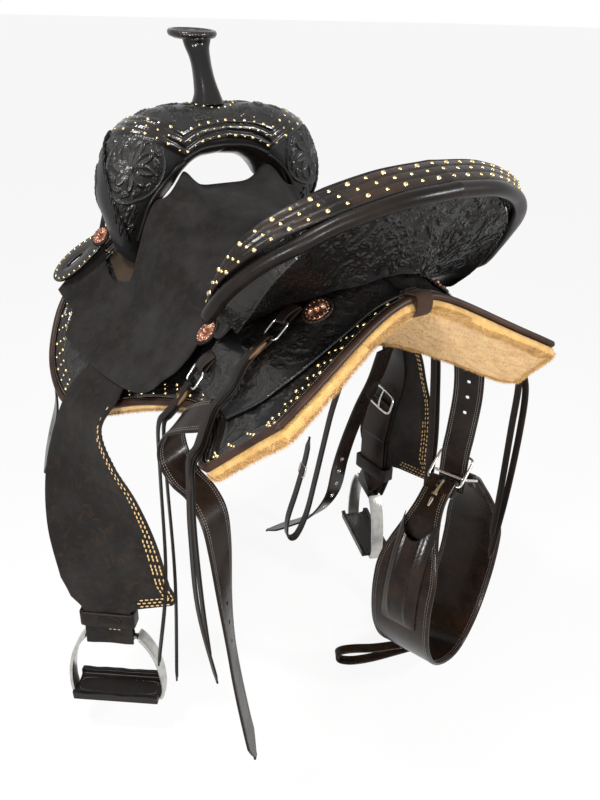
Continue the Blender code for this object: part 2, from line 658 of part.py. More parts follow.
def arch_frames(inset=0.0):
    """Rings of the fork, swept over the arch from the near to the off leg."""
    rows = [(x, y, z, half, deep) for x, y, z, half, deep in ARCH]
    path = spline([r[:3] for r in rows], 2)
    sizes = spline([(r[3], r[4], 0) for r in rows], 2)
    path = mirrored(path[:0:-1]) + path
    sizes = sizes[:0:-1] + sizes
    rings = []
    for i, (p, along, size) in enumerate(zip(path, directions(path), sizes)):
        up = Vector((-along.z, 0, along.x)).normalized()
        deep = Vector((0, 1, 0)) - along * along.y
        deep.normalize()
        half, depth = size.x - inset, size.y - inset
        ring = []
        for k in range(ARCH_SIDES):
            angle = 2 * math.pi * (k + 0.5) / ARCH_SIDES
            c, s = math.cos(angle), math.sin(angle)
            power = 2 / ARCH_SQUARE
            ring.append(p + up * math.copysign(abs(c) ** power, c) * half
                        + deep * math.copysign(abs(s) ** power, s) * depth)
        rings.append(ring)
    return rings


def build_fork():
    outer, inner = arch_frames(), arch_frames(SWELL_COVER)
    bm = bmesh.new()
    rows = [[[bm.verts.new(p) for p in ring] for ring in rings] for rings in (outer, inner)]
    for sheet in rows:
        for a, b in zip(sheet, sheet[1:]):
            for i in range(ARCH_SIDES):
                j = (i + 1) % ARCH_SIDES
                bm.faces.new((a[i], a[j], b[j], b[i]))
    for end in (0, -1):
        for i in range(ARCH_SIDES):
            j = (i + 1) % ARCH_SIDES
            a, b = rows[0][end], rows[1][end]
            bm.faces.new((a[i], a[j], b[j], b[i]))
    add_object("swell_cover", bm, BLACK, 0.25)
    loft("fork_core", arch_frames(SWELL_COVER + SEAM), WOOD, 0.7)
    neck = spline(NECK_PATH, 2)
    radii = [v.x for v in spline([(r, 0, 0) for r in NECK_RADII], 2)]
    rings = tube_rings(neck, radii, 14, across=(1, 0, 0))
    tilt = Vector((0, -math.sin(math.radians(CAP_TILT)), math.cos(math.radians(CAP_TILT))))
    level = tilt.cross(Vector((1, 0, 0)))
    rings[-1] = [neck[-1] + (Vector((1, 0, 0)) * math.cos(a) + level * math.sin(a)) * radii[-1]
                 for a in (2 * math.pi * k / 14 for k in range(14))]
    loft("horn_neck", rings, BLACK, 0.2)
    half = CAP_THICK / 2
    profile = [(0, 0), (CAP_RADIUS * 0.72, 0), (CAP_RADIUS, half * 0.8), (CAP_RADIUS, half * 1.3),
               (CAP_RADIUS * 0.93, CAP_THICK), (0, CAP_THICK)]
    centre = neck[-1] + tilt * SEAM + level * CAP_SHIFT
    turned("horn_cap", profile, centre, tilt, BLACK, 0.4, sides=18)


def fender_rows(side):
    """Stations down a fender: centre, direction of its width towards the front, two half widths."""
    rows = []
    lay = on_back(FENDER_LIFT + FENDER_THICK / 2)
    for x, y, front, rear in FENDER_ON_SKIRT:
        ahead = lay(side * x, y + front)
        behind = lay(side * x, y - rear)
        centre = ahead.lerp(behind, front / (front + rear))
        rows.append((centre, (ahead - behind).normalized(), front, rear))
    for x, y, z, turn, front, rear in FENDER_FREE["near" if side < 0 else "off"]:
        turn = math.radians(turn)
        wide = Vector((side * math.sin(turn), math.cos(turn), 0))
        rows.append((Vector((side * x, y, z)), wide, front, rear))
    return rows


def smooth_rows(rows, steps):
    centres = spline([r[0] for r in rows], steps)
    wides = spline([r[1] for r in rows], steps)
    halves = spline([(r[2], r[3], 0) for r in rows], steps)
    return [(c, w.normalized(), h.x, h.y) for c, w, h in zip(centres, wides, halves)]


def build_fender(side, label):
    """Fender with its rear corner drawn out to a point and a tongue that runs down to the bolt."""
    rows = smooth_rows(fender_rows(side), 2)
    foot, wide, front, rear = rows[-1]
    for drop, narrowed, share in FENDER_CORNER:
        rows.append((foot - Vector((0, 0, drop)), wide, narrowed, rear * share))
    turn = math.radians(STIRRUP_TURN[label])
    squared = Vector((side * math.sin(turn), math.cos(turn), 0))
    for drop, share in TONGUE_ROWS:
        twisted = wide.lerp(squared, share).normalized()
        rows.append((foot - Vector((0, 0, drop)), twisted, TONGUE_HALF, TONGUE_HALF))
    along = directions([r[0] for r in rows])
    outwards = [wide.cross(tangent).normalized() * -side for (_, wide, _, _), tangent in zip(rows, along)]
    rings = []
    for (centre, wide, front, rear), outward in zip(rows, outwards):
        half = outward * FENDER_THICK / 2
        a, b = centre - wide * rear, centre + wide * front
        rings.append([a - half, b - half, b + half, a + half])
    loft(f"{label}_fender", rings, SUEDE, 0.9)
    build_leather(label, foot, rows, outwards)
    x, y = FENDER_PIVOT[label]
    swings = ("fender", "stirrup_leather", "leather_buckle", "hobble_strap")
    hang_on(on_back(FENDER_LIFT)(side * x, y), *[f"{label}_{name}" for name in swings])


def build_leather(label, foot, rows, outwards):
    """The stirrup leather behind the fender, looped round the stirrup's bolt, and what hangs on it."""
    wide, outward = rows[-1][1], outwards[-1]
    flat, flat_out = rows[-2][1], outwards[-3]
    set_in = FENDER_THICK / 2 + LEATHER_GAP + STRAP_THICK / 2
    bolt = foot - outward * (set_in + LOOP_RADIUS) - Vector((0, 0, TONGUE_ROWS[-1][0]))
    path, wides = [], []
    for (centre, across, _, _), out in list(zip(rows, outwards))[1:-1]:
        path.append(centre - out * set_in)
        wides.append(across)
    for k in range(7):
        angle = math.pi * k / 6
        path.append(bolt + outward * LOOP_RADIUS * math.cos(angle)
                    - Vector((0, 0, LOOP_RADIUS * math.sin(angle))))
        wides.append(wide)
    lap = set_in + STRAP_THICK + LEATHER_GAP
    up = [(bolt + Vector((0, 0, 0.014)) - outward * LOOP_RADIUS * 0.6, wide),
          (Vector((*(foot - flat_out * lap).xy, bolt.z + 0.031)), flat)]
    for (centre, across, _, _), out in reversed(list(zip(rows, outwards))):
        if bolt.z + 0.050 < centre.z < bolt.z + LEATHER_RISE:
            up.append((centre - out * lap, across))
    path += [p for p, _ in up]
    wides += [w for _, w in up]
    last = len(path) - 1
    loft(f"{label}_stirrup_leather",
         strap_rings(path, lambda t: wides[round(t * last)], LEATHER_WIDTH, STRAP_THICK), BLACK, 0.4)
    build_leather_buckle(label, path[-1], wides[-1], (path[-1] - path[-2]).normalized())
    build_hobble(label, Vector((*foot.xy, bolt.z + HOBBLE_RISE)), flat, flat_out, lap)
    build_stirrup(label, bolt, wide, outward)


def build_hobble(label, middle, wide, outward, lap):
    """The strap buckled round the fender's tongue and both plies of the leather."""
    half = TONGUE_HALF + HOBBLE_ROOM * 3 + STRAP_THICK / 2
    front = FENDER_THICK / 2 + HOBBLE_ROOM + STRAP_THICK / 2
    rear = -(lap + STRAP_THICK + HOBBLE_ROOM)
    side = half - HOBBLE_CORNER
    ring = [(-half, front - HOBBLE_CORNER), (-side, front), (side, front),
            (half, front - HOBBLE_CORNER), (half, rear + HOBBLE_CORNER), (side, rear),
            (-side, rear), (-half, rear + HOBBLE_CORNER)]
    path = [middle + wide * u + outward * v for u, v in ring]
    strap(f"{label}_hobble_strap", path, (0, 0, 1), HOBBLE_WIDTH, STRAP_THICK, closed=True)


def build_leather_buckle(label, end, wide, along):
    inward = wide.cross(along).normalized()
    if inward.x * end.x > 0:
        inward = -inward
    centre = end + inward * (STRAP_THICK / 2 + BUCKLE_WIRE + 2 * MIN_GAP) + along * 0.004
    ring = frame_ring(centre, along, wide, 0.036, LEATHER_WIDTH)
    tube(f"{label}_leather_buckle", ring, BUCKLE_WIRE, STEEL, 0.25, 1.0, 6, True, inward)


def build_stirrup(label, bolt, wide, outward):
    """Aluminium bow, whose top bar is the bolt in the leather's loop, and the wrapped tread."""
    outline = [(-u, z) for u, z in STIRRUP_BOW[::-1]] + list(STIRRUP_BOW)
    path = [bolt + wide * u + Vector((0, 0, z)) for u, z in outline]
    middle = len(STIRRUP_BOW)
    rings = strap_rings(path, outward, BOW_DEEP, BOW_THICK, closed=True,
                        taper=[(middle, BOLT_SHARE), (middle - 1, BOLT_SHARE)])
    loft(f"{label}_stirrup_bow", rings, STEEL, 0.35, 1.0, closed=True)
    pad_top = STIRRUP_BOW[-1][1] + BOW_THICK / 2 + MIN_GAP
    half = STIRRUP_BOW[-1][0] - BOW_THICK / 2 - TREAD_CLEAR
    d = TREAD_DEPTH / 2
    ring = [(-d, 0.0), (d, 0.0), (d + 0.002, 0.015), (d - 0.005, 0.015), (d - 0.009, 0.006),
            (0.009 - d, 0.006), (0.005 - d, 0.015), (-d - 0.002, 0.015)]
    rings = [[bolt + wide * u + outward * p + Vector((0, 0, pad_top + h)) for p, h in ring]
             for u in (-half, 0.0, half)]
    loft(f"{label}_stirrup_tread", rings, BLACK, 0.4)
    hang_on(bolt, f"{label}_stirrup_bow", f"{label}_stirrup_tread")


def build_fenders():
    for side, label in ((-1, "near"), (1, "off")):
        build_fender(side, label)


def rest_on(surface, x, y, radius):
    """Where a flat disc comes to rest on a draped surface: its place and its normal."""
    ring = [surface(x + radius * math.cos(a), y + radius * math.sin(a) * 0.9)
            for a in (math.pi * k / 4 for k in range(8))]
    normal = (ring[0] - ring[4]).cross(ring[2] - ring[6]).normalized()
    if normal.z < 0:
        normal = -normal
    middle = surface(x, y)
    rise = max((p - middle).dot(normal) for p in ring + [middle])
    return middle + normal * (rise + CONCHO_SEAT), normal


def concho_profile(radius):
    """A thin scalloped plate with a dished face and a domed head in the middle."""
    return [(0, 0), (radius, 0), (radius, 0.0022), (radius * 0.72, 0.0040), (radius * 0.30, 0.0034),
            (radius * 0.26, 0.0062), (radius * 0.12, 0.0074), (0, 0.0076)]


def build_conchos():
    for side, label in ((-1, "near"), (1, "off")):
        x, y = REAR_CONCHO
        place, normal = rest_on(draped(0.0), side * x, y, CONCHO_RADIUS)
        turned(f"{label}_rear_concho", concho_profile(CONCHO_RADIUS), place, normal, COPPER, 0.35, 1.0, 10)
        x, y = SEAT_CONCHO
        place, normal = rest_on(on_seat(0.0), side * x, y, CONCHO_RADIUS)
        turned(f"{label}_seat_concho", concho_profile(CONCHO_RADIUS), place, normal, COPPER, 0.35, 1.0, 10)


def build_keepers():
    """Latigo keepers: a slotted teardrop of leather hung from a concho on the fork's leg."""
    for side, label in ((-1, "near"), (1, "off")):
        top, low = Vector(KEEPER_TOP), Vector(KEEPER_LOW)
        top.x *= side
        low.x *= side
        along = (low - top).normalized()
        wide = Vector(KEEPER_ACROSS)
        wide.x *= side
        wide = (wide - along * wide.dot(along)).normalized()
        normal = along.cross(wide).normalized()
        if normal.z < 0:
            normal = -normal
        bm = bmesh.new()
        length = (low - top).length
        outer = []
        for k in range(18):
            angle = 2 * math.pi * k / 18
            swell = 1.0 + 0.28 * math.cos(angle)
            outer.append((length * (0.5 + 0.5 * math.cos(angle)), KEEPER_HALF * swell * math.sin(angle)))
        slot = []
        for k in range(18):
            angle = 2 * math.pi * k / 18
            slot.append((length * KEEPER_SLOT_PLACE + KEEPER_SLOT_HALF[0] * math.cos(angle),
                         KEEPER_SLOT_HALF[1] * math.sin(angle)))
        rows = []
        for rise in (0.0, KEEPER_THICK):
            for loop in (outer, slot):
                rows.append([bm.verts.new(top + along * u + wide * v + normal * rise) for u, v in loop])
        for a, b in ((0, 1), (1, 3), (3, 2), (2, 0)):
            for i in range(18):
                j = (i + 1) % 18
                bm.faces.new((rows[a][i], rows[a][j], rows[b][j], rows[b][i]))
        add_object(f"{label}_latigo_keeper", bm, BLACK, 0.3)
        place = top + along * CONCHO_RADIUS * 1.05 + normal * (KEEPER_THICK + CONCHO_SEAT)
        turned(f"{label}_keeper_concho", concho_profile(CONCHO_RADIUS * 0.9), place, normal, COPPER,
               0.35, 1.0, 10)
        hang_on(place, f"{label}_latigo_keeper")


def frame_ring(centre, along, across, length, width, corner=0.2):
    """A rounded rectangle of points, the centre line of a wire frame."""
    points = []
    for u, v in ((-1, -1), (1, -1), (1, 1), (-1, 1)):
        before = (u, v * (1 - corner)) if u * v > 0 else (u * (1 - corner), v)
        after = (u * (1 - corner), v) if u * v > 0 else (u, v * (1 - corner))
        for p in (before, after):
            points.append(centre + along * p[0] * length / 2 + across * p[1] * width / 2)
    return points


def draped(lift):
    """The surface that a strap follows over the bar, the jockey and the skirt."""
    return on_back(lambda x, y: bar_cover(x, y) + SEAM + JOCKEY_THICK + lift)


def build_strings():
    """Dees with the saddle strings: each string is doubled over its dee's lower bar."""
    for side, label in ((-1, "near"), (1, "off")):
        build_string(side, f"{label}_rear", REAR_DEE, 0.0, REAR_STRING_LAID,
                     REAR_STRING_TAILS[label])
        build_string(side, f"{label}_front", FRONT_DEE, JOCKEY_THICK + STRING_DROP, FRONT_STRING_LAID,
                     FRONT_STRING_TAILS[label])


def build_string(side, label, dee, drop, laid, tails):
    """One dee and its string; drop is how far under the jockey's top the dee lies."""
    x, y, ahead = dee
    base = draped(-drop)
    seat_point = rest_on(base, side * x, y, DEE_WIDTH / 2)[0]
    along = (base(side * (x + 0.01), y + ahead * 0.01) - seat_point).normalized()
    normal = surface_normal(back_height, side * x, y)
    normal = (normal - along * normal.dot(along)).normalized()
    across = normal.cross(along)
    lay = STRING_THICK / 2 + STRING_LAY
    bend = DEE_WIRE + STRING_THICK / 2 + SEAM
    lift = lay + bend
    ring = frame_ring(seat_point + normal * lift, along, across, DEE_LENGTH, DEE_WIDTH)
    tube(f"{label}_string_dee", ring, DEE_WIRE, STEEL, 0.25, 1.0, 6, True, normal)
    bar = seat_point + normal * lift + along * DEE_LENGTH / 2
    hairpin = [bar + normal * bend * math.cos(t) - along * bend * math.sin(t)
               for t in (math.pi * k / 5 for k in range(6))]
    upper, lower = draped(2 * bend + lay - drop), draped(lay - drop)
    over = [upper(side * px, py) for px, py in laid]
    under = [lower(side * px, py) for px, py in laid]
    path = list(reversed([Vector(p) for p in tails[1]])) + over[::-1] + hairpin + under
    path += [Vector(p) for p in tails[0]]
    name = f"{label}_saddle_string"
    loft(name, strap_rings(path, across, STRING_WIDTH, STRING_THICK), BLACK, 0.4)
    hang_on(bar, name)


def sheet(name, lower, upper, colour, roughness=0.35, missing=()):
    """A plate from rows of points below and above it; the cells named in missing are cut out."""
    bm = bmesh.new()
    low = [[bm.verts.new(p) for p in row] for row in lower]
    top = [[bm.verts.new(p) for p in row] for row in upper]
    cells = {(i, j) for i in range(len(low) - 1) for j in range(len(low[0]) - 1)} - set(missing)
    for i, j in cells:
        around = [(i, j), (i, j + 1), (i + 1, j + 1), (i + 1, j)]
        beside = [(i - 1, j), (i, j + 1), (i + 1, j), (i, j - 1)]
        bm.faces.new([top[p][q] for p, q in around])
        bm.faces.new([low[p][q] for p, q in reversed(around)])
        for k in range(4):
            if beside[k] not in cells:
                (a, b), (c, d) = around[k], around[(k + 1) % 4]
                bm.faces.new((top[a][b], low[a][b], low[c][d], top[c][d]))
    bmesh.ops.delete(bm, geom=[v for v in bm.verts if not v.link_faces], context="VERTS")
    add_object(name, bm, colour, roughness)


def punched_strap(name, route, across, width, holes, point=True, hole=0.006):
    """A strap along a route, with a row of square-cut holes along its middle and a pointed tip."""
    curve = spline(route, 6)
    lengths = [0.0]
    for a, b in zip(curve, curve[1:]):
        lengths.append(lengths[-1] + (b - a).length)
    total = lengths[-1]
    spans = round(total / 0.06)
    marks = sorted({round(total * k / spans, 5) for k in range(spans + 1)}
                   | {round(h + d, 5) for h in holes for d in (0.0, hole)})
    starts = [m for m in marks if any(abs(m - h) < 1e-4 for h in holes)]
    ends = [m for m in marks if any(abs(m - h - hole) < 1e-4 for h in holes)]
    marks = [m for m in marks if m in starts or m in ends
             or all(abs(m - e) > 0.012 for e in starts + ends)]
    fine = resample(curve, 400)
    path = [fine[min(399, round(399 * m / total))] for m in marks]
    lower, upper = [], []
    for m, p, tangent in zip(marks, path, directions(path)):
        wide = Vector(across(m / total) if callable(across) else across)
        wide = (wide - tangent * wide.dot(tangent)).normalized()
        face = tangent.cross(wide) * STRAP_THICK / 2
        half = width / 2
        if point:
            half *= clamp((total - m) / 0.030, 0.16, 1.0)
        inner = min(hole / 2, half * 0.5)
        for row, away in ((lower, -face), (upper, face)):
            row.append([p + wide * v + away for v in (-half, -inner, inner, half)])
    missing = [(marks.index(m), 1) for m in starts]
    sheet(name, lower, upper, BLACK, 0.35, missing)


def build_billets():
    punched_strap("near_rear_billet", NEAR_REAR_BILLET,
                  lambda t: (1 - 0.4 * ease(2.2 * t - 0.6), 0.25 + 0.55 * ease(2.2 * t - 0.6),
                             0.9 * (1 - ease(3 * t))),
                  BILLET_WIDTH, [0.34 + 0.030 * k for k in range(3)])
    punched_strap("off_billet", OFF_BILLET, (0.98, 0.2, 0), BILLET_WIDTH,
                  [0.27 + 0.030 * k for k in range(5)])
    punched_strap("near_latigo", NEAR_LATIGO, (0.25, 0.9, 0.1), 0.040, [0.10])
    punched_strap("off_rear_billet", OFF_REAR_BILLET, lambda t: (0.55 - 0.25 * t, -0.86, 0),
                  BILLET_WIDTH, [0.05 + 0.025 * k for k in range(3)], point=False)
    strap("off_tie_strap", spline(OFF_TIE_STRAP, 2), (0.2, 0.9, 0.1), 0.017, STRAP_THICK,
          taper=[(0, 0.3), (1, 0.8)])
    hang_on(NEAR_REAR_BILLET[0], "near_rear_billet")
    hang_on(NEAR_LATIGO[0], "near_latigo")
    hang_on(OFF_REAR_BILLET[0], "off_rear_billet")


def in_cinch(p, v=0.0):
    """A point of the cinch's own plane, moved sideways along the cinch's width."""
    return CINCH_AT + CINCH_OUT * p[0] + CINCH_ACROSS * v + Vector((0, 0, p[-1]))


def build_cinch():
    """Flank cinch: both ends turned over the lower bars of two buckles, with slots for the tongues."""
    route = resample(spline([(n, 0, z) for n, z in CINCH_PROFILE], 6), CINCH_STATIONS)
    turn = BUCKLE_WIRE + PLY / 2 + SEAM
    for label in ("near", "off"):
        tip = route[0]
        away = (tip - route[1]).normalized()
        inner = Vector((away.z, 0, -away.x))
        if inner.x * tip.x > 0:
            inner = -inner
        bar = tip + inner * turn
        angles = [math.pi * k / 5 for k in range(5, 0, -1)]
        wrap = [bar + (away * math.sin(t) - inner * math.cos(t)) * turn for t in angles]
        start = wrap[0] - away * 0.018 + inner * 0.001
        build_cinch_buckle(label, bar, away, inner)
        route = [start] + wrap + [tip, tip - away * SLOT_DROP] + route[1:]
        route.reverse()
    last = len(route) - 1
    normals = [Vector((t.z, 0, -t.x)) for t in directions(route)]
    lower, upper, missing = [], [], []
    for i, (p, normal) in enumerate(zip(route, normals)):
        rows_in = min(i, last - i)
        half = (CINCH_NARROW + (CINCH_WIDE - CINCH_NARROW) * ease((rows_in - WRAP_ROWS - 1) / 3)) / 2
        places = (-half, -CINCH_SLOT / 2, CINCH_SLOT / 2, half)
        lower.append([in_cinch(p - normal * PLY / 2, v) for v in places])
        upper.append([in_cinch(p + normal * PLY / 2, v) for v in places])
    for k in range(1, WRAP_ROWS + 1):
        missing += [(k, 1), (last - 1 - k, 1)]
    sheet("flank_cinch", lower, upper, BLACK, 0.3, missing)
    build_pocket(route, normals)
    ring = [CINCH_AT + CONNECTOR_WAY * f + Vector((0, 0, z)) for f, z in CONNECTOR]
    strap("cinch_connector", ring, CONNECTOR_ACROSS, 0.016, STRAP_THICK, closed=True)
    hang_on(in_cinch(CINCH_HANG), "flank_cinch", "billet_pocket", "cinch_connector",
            "near_cinch_buckle", "off_cinch_buckle")


def build_cinch_buckle(label, bar, away, inner):
    """A buckle with its lower bar in the cinch's end, and the long tongue hooked on that bar."""
    foot, top = in_cinch(bar), in_cinch(BUCKLE_TOPS[label])
    reach = (top - foot).length
    ring = frame_ring(foot.lerp(top, 0.5), (top - foot).normalized(), CINCH_ACROSS, reach,
                      BUCKLE_WIDTH, 0.1)
    tube(f"{label}_cinch_buckle", ring, BUCKLE_WIRE, STEEL, 0.25, 1.0, 6, True)
    rings = []
    near_face = BUCKLE_WIRE + SEAM
    for drop, clear, share in ((TONGUE_LENGTH, 0.0075, 0.5), (0.026, 0.0066, 0.85),
                               (0.010, 0.0024, 1.0)):
        point = bar - away * drop - inner * (near_face + clear)
        rings.append((point, point - inner * TONGUE_THICK * share, share))
    for k in range(-1, 6):
        angle = math.pi * (1 - k / 6)
        spoke = inner * math.cos(angle) + away * math.sin(angle)
        rings.append((bar + spoke * near_face, bar + spoke * (near_face + TONGUE_THICK), 1.0))
    half = TONGUE_WIDE / 2
    rings = [[in_cinch(a, -half * w), in_cinch(a, half * w), in_cinch(b, half * w),
              in_cinch(b, -half * w)] for a, b, w in rings]
    loft(f"{label}_cinch_tongue", rings, STEEL, 0.25, 1.0)
    hang_on(foot, f"{label}_cinch_tongue")


def build_pocket(route, normals):
    """Moulded pocket for the billet's end on the cinch's outer face, its mouth cut hollow."""
    lower, upper = [], []
    for row in (None, *POCKET_ROWS[1:]):
        low_row, top_row = [], []
        for v in (-1, -0.75, -0.4, 0, 0.4, 0.75, 1):
            place = POCKET_ROWS[0] + 0.15 + 0.65 * (1 - v * v) if row is None else row
            k = min(int(place), len(route) - 2)
            p = route[k].lerp(route[k + 1], place - k)
            normal = normals[k].lerp(normals[k + 1], place - k)
            if normal.dot(Vector((p.x, 0, 0))) < 0:
                normal = -normal
            share = clamp((place - POCKET_ROWS[0]) / (POCKET_ROWS[-1] - POCKET_ROWS[0]))
            hollow = POCKET_HIGH * (1 - v ** 4) * (1 - share ** 5)
            rise = PLY / 2 + MIN_GAP + hollow
            low_row.append(in_cinch(p + normal * rise, v * POCKET_HALF))
            top_row.append(in_cinch(p + normal * (rise + 0.0026), v * POCKET_HALF))
        lower.append(low_row)
        upper.append(top_row)
    sheet("billet_pocket", lower, upper, BLACK, 0.25)


clear_scene()
draw_cantle_curves()
build_skirts()
build_seat()
build_cantle()
build_fork()
build_fenders()
build_conchos()
build_keepers()
build_strings()
build_billets()
build_cinch()
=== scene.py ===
import json
import math

import bpy
import numpy as np
from mathutils import Matrix, Vector
from mathutils.geometry import delaunay_2d_cdt

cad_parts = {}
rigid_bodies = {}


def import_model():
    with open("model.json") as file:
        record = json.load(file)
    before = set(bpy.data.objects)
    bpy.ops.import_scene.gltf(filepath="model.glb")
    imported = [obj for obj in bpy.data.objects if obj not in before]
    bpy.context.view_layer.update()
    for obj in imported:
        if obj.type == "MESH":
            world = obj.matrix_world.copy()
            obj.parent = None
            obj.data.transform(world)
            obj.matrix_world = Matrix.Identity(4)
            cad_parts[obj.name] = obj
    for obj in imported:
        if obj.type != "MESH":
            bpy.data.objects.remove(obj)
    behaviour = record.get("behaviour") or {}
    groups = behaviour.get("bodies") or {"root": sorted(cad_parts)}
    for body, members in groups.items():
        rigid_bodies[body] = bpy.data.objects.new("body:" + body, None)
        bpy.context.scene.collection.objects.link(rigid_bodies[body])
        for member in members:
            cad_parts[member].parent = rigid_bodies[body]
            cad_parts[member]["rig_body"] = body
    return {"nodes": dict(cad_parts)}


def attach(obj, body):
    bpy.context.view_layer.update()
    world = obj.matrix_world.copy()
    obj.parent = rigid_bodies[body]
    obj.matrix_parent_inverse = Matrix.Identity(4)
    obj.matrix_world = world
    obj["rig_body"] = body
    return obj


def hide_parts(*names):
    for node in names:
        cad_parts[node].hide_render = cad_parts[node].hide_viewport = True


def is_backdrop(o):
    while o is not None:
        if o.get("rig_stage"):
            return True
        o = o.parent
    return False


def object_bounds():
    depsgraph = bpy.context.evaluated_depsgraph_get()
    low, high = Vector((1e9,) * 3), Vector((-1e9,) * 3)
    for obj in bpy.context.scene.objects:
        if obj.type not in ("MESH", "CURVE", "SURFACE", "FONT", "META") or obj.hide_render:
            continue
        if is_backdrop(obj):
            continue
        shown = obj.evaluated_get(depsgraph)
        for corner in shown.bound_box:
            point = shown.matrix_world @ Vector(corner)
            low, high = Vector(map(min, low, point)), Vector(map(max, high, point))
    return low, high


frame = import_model()
cad_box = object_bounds()
SIDES = ((-1, "near"), (1, "off"))

# Skirts
# The two large plates that spread the saddle's weight over the horse's back. They are cut flat from
# heavy leather, moulded wet to the shape of the back, and carved by hand at both ends.

BACK_SLOPE, FLARE, FLAT_CENTRE, FLAT_HALF, FLARE_RUN = 1.02, 0.40, 0.030, 0.094, 0.246
RIDGE_RADIUS, ROCK, ROCK_FLAT = 0.064, 0.33, 0.064
STRETCH = 1.43
SEAM = 0.0004
SKIRT_THICK = 0.0048
BLACK, RUBBED = (0.0042, 0.0036, 0.0034), (0.050, 0.026, 0.015)
SKIRT = [(0.008, -0.2785), (0.050, -0.281), (0.090, -0.288), (0.136, -0.2985), (0.177, -0.3076),
         (0.204, -0.312), (0.220, -0.281), (0.2466, -0.2366), (0.240, -0.210), (0.2175, -0.182),
         (0.200, -0.145), (0.197, -0.105), (0.207, -0.060), (0.2275, 0.0), (0.262, 0.080),
         (0.279, 0.145), (0.2735, 0.214), (0.252, 0.262), (0.215, 0.297), (0.150, 0.312),
         (0.060, 0.312), (0.012, 0.275), (0.012, 0.225), (0.036, 0.180), (0.036, -0.170),
         (0.008, -0.215)]
SKIRT_OUTER_EDGE = 21
BORDER_START, BORDER_STRIP, BORDER_STRIPS = 0.0125, 0.0066, 3
STUD_PITCH, STUD_START, STUD_END, STUD_SLANT, STUD_CLEAR = 0.0235, 0.012, 0.01, 0.0042, 0.009
BIG_STUD, SMALL_STUD = 0.0026, 0.0019
SKIRT_RELIEF, SKIRT_SUNK = 0.0020, 0.95
SKIRT_FLOWERS = (((0.272, -0.205), 0.026, 0.3), ((0.196, -0.236), 0.024, 0.9),
                 ((0.115, -0.222), 0.024, 0.1), ((0.238, -0.128), 0.022, 0.6),
                 ((0.045, -0.215), 0.020, 0.4), ((0.310, 0.225), 0.030, 0.2),
                 ((0.250, 0.275), 0.026, 0.8), ((0.350, 0.165), 0.024, 0.5))
BILLET_TOP, BILLET_ROOM = (0.215, -0.162), 0.030


def spline(points, steps, closed=False):
    """Smooth curve through the points; a closed one repeats its first point at the end."""
    points = np.asarray(points, float)
    before, after = 2 * points[0] - points[1], 2 * points[-1] - points[-2]
    if closed:
        before, after = points[-2], points[1]
    knots = np.vstack([before, points, after])
    t = np.arange(steps)[:, None] / steps
    spans = []
    for a, b, c, d in zip(knots, knots[1:], knots[2:], knots[3:]):
        spans.append(0.5 * (2 * b + (c - a) * t + (2 * a - 5 * b + 4 * c - d) * t ** 2
                            + (3 * b - a - 3 * c + d) * t ** 3))
    return np.vstack(spans + [points[-1:]])


def lengths_along(curve):
    gaps = np.linalg.norm(np.diff(curve, axis=0), axis=1)
    return np.concatenate([[0.0], np.cumsum(gaps)])


def read_off(wanted, along, rows):
    """Rows of values read off at given places along a line."""
    return np.column_stack([np.interp(wanted, along, column) for column in rows.T])


def at_lengths(curve, wanted):
    """Points of a curve at given distances along it."""
    return read_off(wanted, lengths_along(curve), curve)


def resample(curve, count):
    return at_lengths(curve, np.linspace(0, lengths_along(curve)[-1], count))


def unit(vectors):
    vectors = np.asarray(vectors, float)
    return vectors / np.maximum(np.linalg.norm(vectors, axis=-1, keepdims=True), 1e-12)


def around(count):
    """Evenly spaced angles of a full circle."""
    return 2 * math.pi * np.arange(count) / count


def ease(value):
    value = np.clip(value, 0.0, 1.0)
    return value * value * (3.0 - 2.0 * value)


def slope_at(y):
    run = np.maximum(0.0, np.abs(y - FLAT_CENTRE) - FLAT_HALF) / FLARE_RUN
    return BACK_SLOPE - FLARE * run * run


def back_height(x, y):
    """The horse's back: a rounded ridge, sloping sides that flare at both ends, and a rise fore and aft."""
    rock = np.maximum(0.0, np.abs(y) - ROCK_FLAT)
    return ROCK * rock * rock - slope_at(y) * (np.hypot(x, RIDGE_RADIUS) - RIDGE_RADIUS)


def square_to(height, x, y):
    """Unit normals of a surface given as a height over the plan."""
    step = 0.001
    dx = (height(x + step, y) - height(x - step, y)) / (2 * step)
    dy = (height(x, y + step) - height(x, y - step)) / (2 * step)
    return unit(np.stack([-dx, -dy, np.ones_like(dx)], axis=-1))


def laid_on(height, x, y, lift):
    """Points on a surface given as a height over the plan, raised square to it."""
    x, y = np.asarray(x, float), np.asarray(y, float)
    base = np.stack([x, y, height(x, y)], axis=-1)
    return base + square_to(height, x, y) * np.asarray(lift, float)[..., None]


def on_back(x, y, lift):
    return laid_on(back_height, x, y, lift)


def rounded(share, least=0.0):
    """A quarter circle's height, for edges that round over: none at the edge, one where they end."""
    return np.sqrt(np.clip(1 - (1 - np.clip(share, 0, 1)) ** 2, least, 1))


def contour(points, step, corner=38):
    """A closed outline through the points, smooth but for its corners, with a point at each step."""
    points = np.asarray(points, float)
    ahead = np.roll(points, -1, 0) - points
    behind = np.roll(ahead, 1, 0)
    cosine = np.sum(unit(ahead) * unit(behind), axis=1)
    corners = [i for i, c in enumerate(cosine) if c < math.cos(math.radians(corner))]
    if not corners:
        curve = spline(np.vstack([points, points[:1]]), 8, closed=True)
        return resample(curve, round(lengths_along(curve)[-1] / step) + 1)[:-1]
    points = np.roll(points, -corners[0], 0)
    stops = [c - corners[0] for c in corners] + [len(points)]
    looped = np.vstack([points, points[:1]])
    runs = []
    for a, b in zip(stops, stops[1:]):
        curve = spline(looped[a:b + 1], 8) if b > a + 1 else looped[a:b + 1]
        runs.append(resample(curve, max(2, round(lengths_along(curve)[-1] / step) + 1))[:-1])
    return np.vstack(runs)


